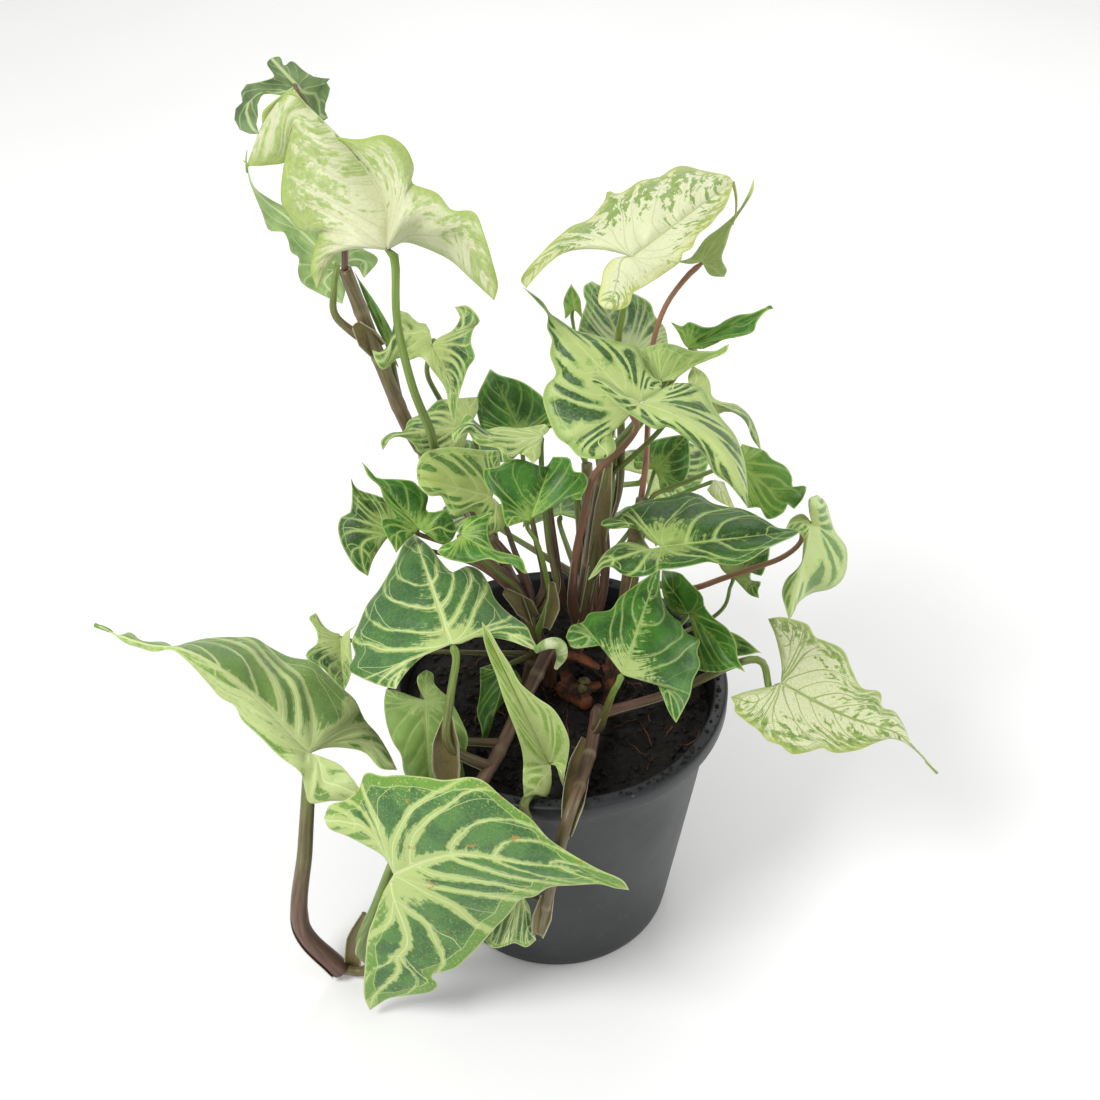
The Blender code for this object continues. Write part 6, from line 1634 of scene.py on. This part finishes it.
def make_ground(waves, material):
    """The soil's rough surface, with a plain skirt down inside the pot."""
    edge = soil_radius(SOIL_TOP)
    radius = np.linspace(0, 1, SOIL_RINGS + 1)[1:, None] * edge
    angle = np.arange(SOIL_SIDES)[None, :] * 2 * math.pi / SOIL_SIDES
    x = (radius * np.cos(angle)).ravel()
    y = (radius * np.sin(angle)).ravel()
    vertices = np.vstack([[0, 0, ground(0, 0, waves)], np.column_stack([x, y, ground(x, y, waves)])])
    bottom = SOIL_TOP - SKIRT_DEPTH
    skirt = soil_radius(bottom) / edge * vertices[-SOIL_SIDES:, :2]
    vertices = np.vstack([vertices, np.column_stack([skirt, np.full(SOIL_SIDES, float(bottom))])])
    faces = [[0, 1 + i, 1 + (i + 1) % SOIL_SIDES] for i in range(SOIL_SIDES)]
    for start in range(1, 1 + SOIL_RINGS * SOIL_SIDES, SOIL_SIDES):
        for i in range(SOIL_SIDES):
            k = (i + 1) % SOIL_SIDES
            faces.append([start + i, start + SOIL_SIDES + i, start + SOIL_SIDES + k, start + k])
    faces.append(list(range(1 + SOIL_RINGS * SOIL_SIDES, 1 + (SOIL_RINGS + 1) * SOIL_SIDES))[::-1])
    new_piece("soil_fine", vertices, faces, [material], ["soil"])


def crumb(centre, size, rough):
    """A small lump: a squashed box with its corners pushed about."""
    corners = []
    for z in (-1, 1):
        for x, y in ((-1, -1), (1, -1), (1, 1), (-1, 1)):
            corners.append([size * 0.5 * (v + rough.uniform(-0.45, 0.45)) for v in (x, y, 0.7 * z)])
    turn = rough.uniform(0, math.pi)
    corners = np.array(corners)
    spin = np.array([[math.cos(turn), -math.sin(turn), 0], [math.sin(turn), math.cos(turn), 0], [0, 0, 1]])
    faces = [[3, 2, 1, 0], [4, 5, 6, 7], [0, 1, 5, 4], [1, 2, 6, 5], [2, 3, 7, 6], [3, 0, 4, 7]]
    return corners @ spin.T + centre, faces, {}


def make_crumbs(name, crumbs, material):
    """Loose crumbs as one piece, with sharp edges."""
    vertices, faces, _ = join_shapes(crumbs)
    new_piece(name, vertices, faces, [material], smooth=False)


def soil_crumbs(waves, rough):
    """Loose crumbs and bits of bark all over the soil."""
    crumbs = []
    for _ in range(CRUMB_COUNT):
        away = soil_radius(SOIL_TOP) * math.sqrt(rough.uniform(0, 0.97))
        turn = rough.uniform(0, 2 * math.pi)
        size = rough.uniform(0.5, 1.9) ** 1.3
        x, y = away * math.cos(turn), away * math.sin(turn)
        crumbs.append(crumb(np.array([x, y, ground(x, y, waves) + 0.25 * size]), size, rough))
    return crumbs


def fibre_shape(waves, rough):
    """One dry root that winds over the soil."""
    limit = soil_radius(SOIL_TOP) - 1.5
    away = soil_radius(SOIL_TOP) * math.sqrt(rough.uniform(0, 0.85))
    turn = rough.uniform(0, 2 * math.pi)
    length = rough.uniform(4, 18)
    heading = rough.uniform(0, 2 * math.pi)
    x, y = away * math.cos(turn), away * math.sin(turn)
    places = []
    for _ in range(FIBRE_PLACES):
        heading += rough.uniform(-0.35, 0.35)
        x += length / FIBRE_PLACES * math.cos(heading)
        y += length / FIBRE_PLACES * math.sin(heading)
        reach = math.hypot(x, y)
        if reach > limit:
            x, y = x * limit / reach, y * limit / reach
        places.append((x, y, ground(x, y, waves) + rough.uniform(0.2, 1.8)))
    radii = rough.uniform(0.12, 0.4) * (1 - 0.6 * np.linspace(0, 1, FIBRE_STEPS + 1) ** 2)
    vertices, faces, _ = tube(smooth_curve(places, FIBRE_STEPS), radii, FIBRE_SIDES)
    return vertices, faces, {}


def make_soil(soil, fibre):
    """Soil: a rough crumbly mound, with loose crumbs, bark and roots on it."""
    waves = ground_waves()
    rough = random.Random(11)
    make_ground(waves, soil)
    make_crumbs("soil_crumbs", soil_crumbs(waves, rough), soil)
    vertices, faces, _ = join_shapes([fibre_shape(waves, rough) for _ in range(FIBRE_COUNT)])
    new_piece("soil_fibres", vertices, faces, [fibre])


def make_rim_dirt(soil):
    """Crumbs of soil that lie on the rim, most of them in front."""
    rough = random.Random(23)
    crumbs = []
    for _ in range(RIM_CRUMB_COUNT):
        turn = rough.gauss(-0.75, 0.9)
        size = rough.uniform(0.4, 1.3)
        away = rough.uniform(MOUTH_RADIUS + 1.5, RIM_RADIUS - 1.8)
        place = np.array([away * math.cos(turn), away * math.sin(turn), POT_HEIGHT + 0.2 * size])
        crumbs.append(crumb(place, size, rough))
    make_crumbs("rim_dirt", crumbs, soil)


def make_floor():
    """The pale floor that the pot stands on."""
    mesh = bpy.data.meshes.new("floor")
    half = FLOOR_WIDTH / 2
    corners = [(-half, -half, 0), (half, -half, 0), (half, half, 0), (-half, half, 0)]
    mesh.from_pydata(corners, [], [(0, 1, 2, 3)])
    mesh.materials.append(floor_material())
    floor = bpy.data.objects.new("floor", mesh)
    bpy.context.scene.collection.objects.link(floor)


def make_light(name, place, width, power):
    """A round white lamp that faces the plant."""
    lamp = bpy.data.lights.new(name, "AREA")
    lamp.shape = "DISK"
    lamp.size = width
    lamp.energy = power
    made = bpy.data.objects.new(name, lamp)
    made.location = place
    made.rotation_euler = (Vector(PLANT_MIDDLE) - Vector(place)).to_track_quat("-Z", "Y").to_euler()
    bpy.context.scene.collection.objects.link(made)


def make_lights():
    """Plain soft studio light: a white room, a broad key from the upper left and a fill from the right."""
    world = bpy.data.worlds.new("studio")
    world.use_nodes = True
    background = world.node_tree.nodes["Background"]
    background.inputs["Color"].default_value = 1, 1, 1, 1
    background.inputs["Strength"].default_value = ROOM_LIGHT
    bpy.context.scene.world = world
    make_light("key", (-0.7, -0.6, 1.3), 0.55, 14)
    make_light("fill", (1.2, 0.1, 0.4), 0.8, 6)
    make_light("back", (0.1, 1.0, 0.9), 0.8, 3)


def make_camera():
    """The photo's camera: above and in front, looking down."""
    lens = bpy.data.cameras.new("photo camera")
    lens.sensor_width = SENSOR_WIDTH
    lens.lens = SENSOR_WIDTH * PHOTO_LENS / (2 * PHOTO_CENTRE)
    lens.clip_start = 0.01
    camera = bpy.data.objects.new("photo camera", lens)
    camera.location = CAMERA_PLACE * MM
    camera.rotation_euler = math.pi / 2 - CAMERA_TILT, 0, 0
    bpy.context.scene.collection.objects.link(camera)
    bpy.context.scene.camera = camera


def main():
    """Builds everything. Leaves come before shoots, whose stalks end at right angles to the blades."""
    make_camera()
    make_lights()
    make_floor()
    lower_materials = {name: lower_material(name, LOOKS[name]) for name in LOWER_SIDES}
    squares = {blade.name: make_leaf(blade, lower_materials) for blade in BLADES}
    stem = stem_material()
    for shoot in SHOOTS:
        make_shoot(shoot, squares, stem)
    make_pot(pot_material())
    soil = soil_material()
    make_soil(soil, fibre_material())
    make_rim_dirt(soil)
    make_husks(husk_material())
    make_lobe_curl(lower_materials["cream"])
    bpy.context.scene.view_settings.view_transform = "Standard"


main()
bpy.context.view_layer.update()
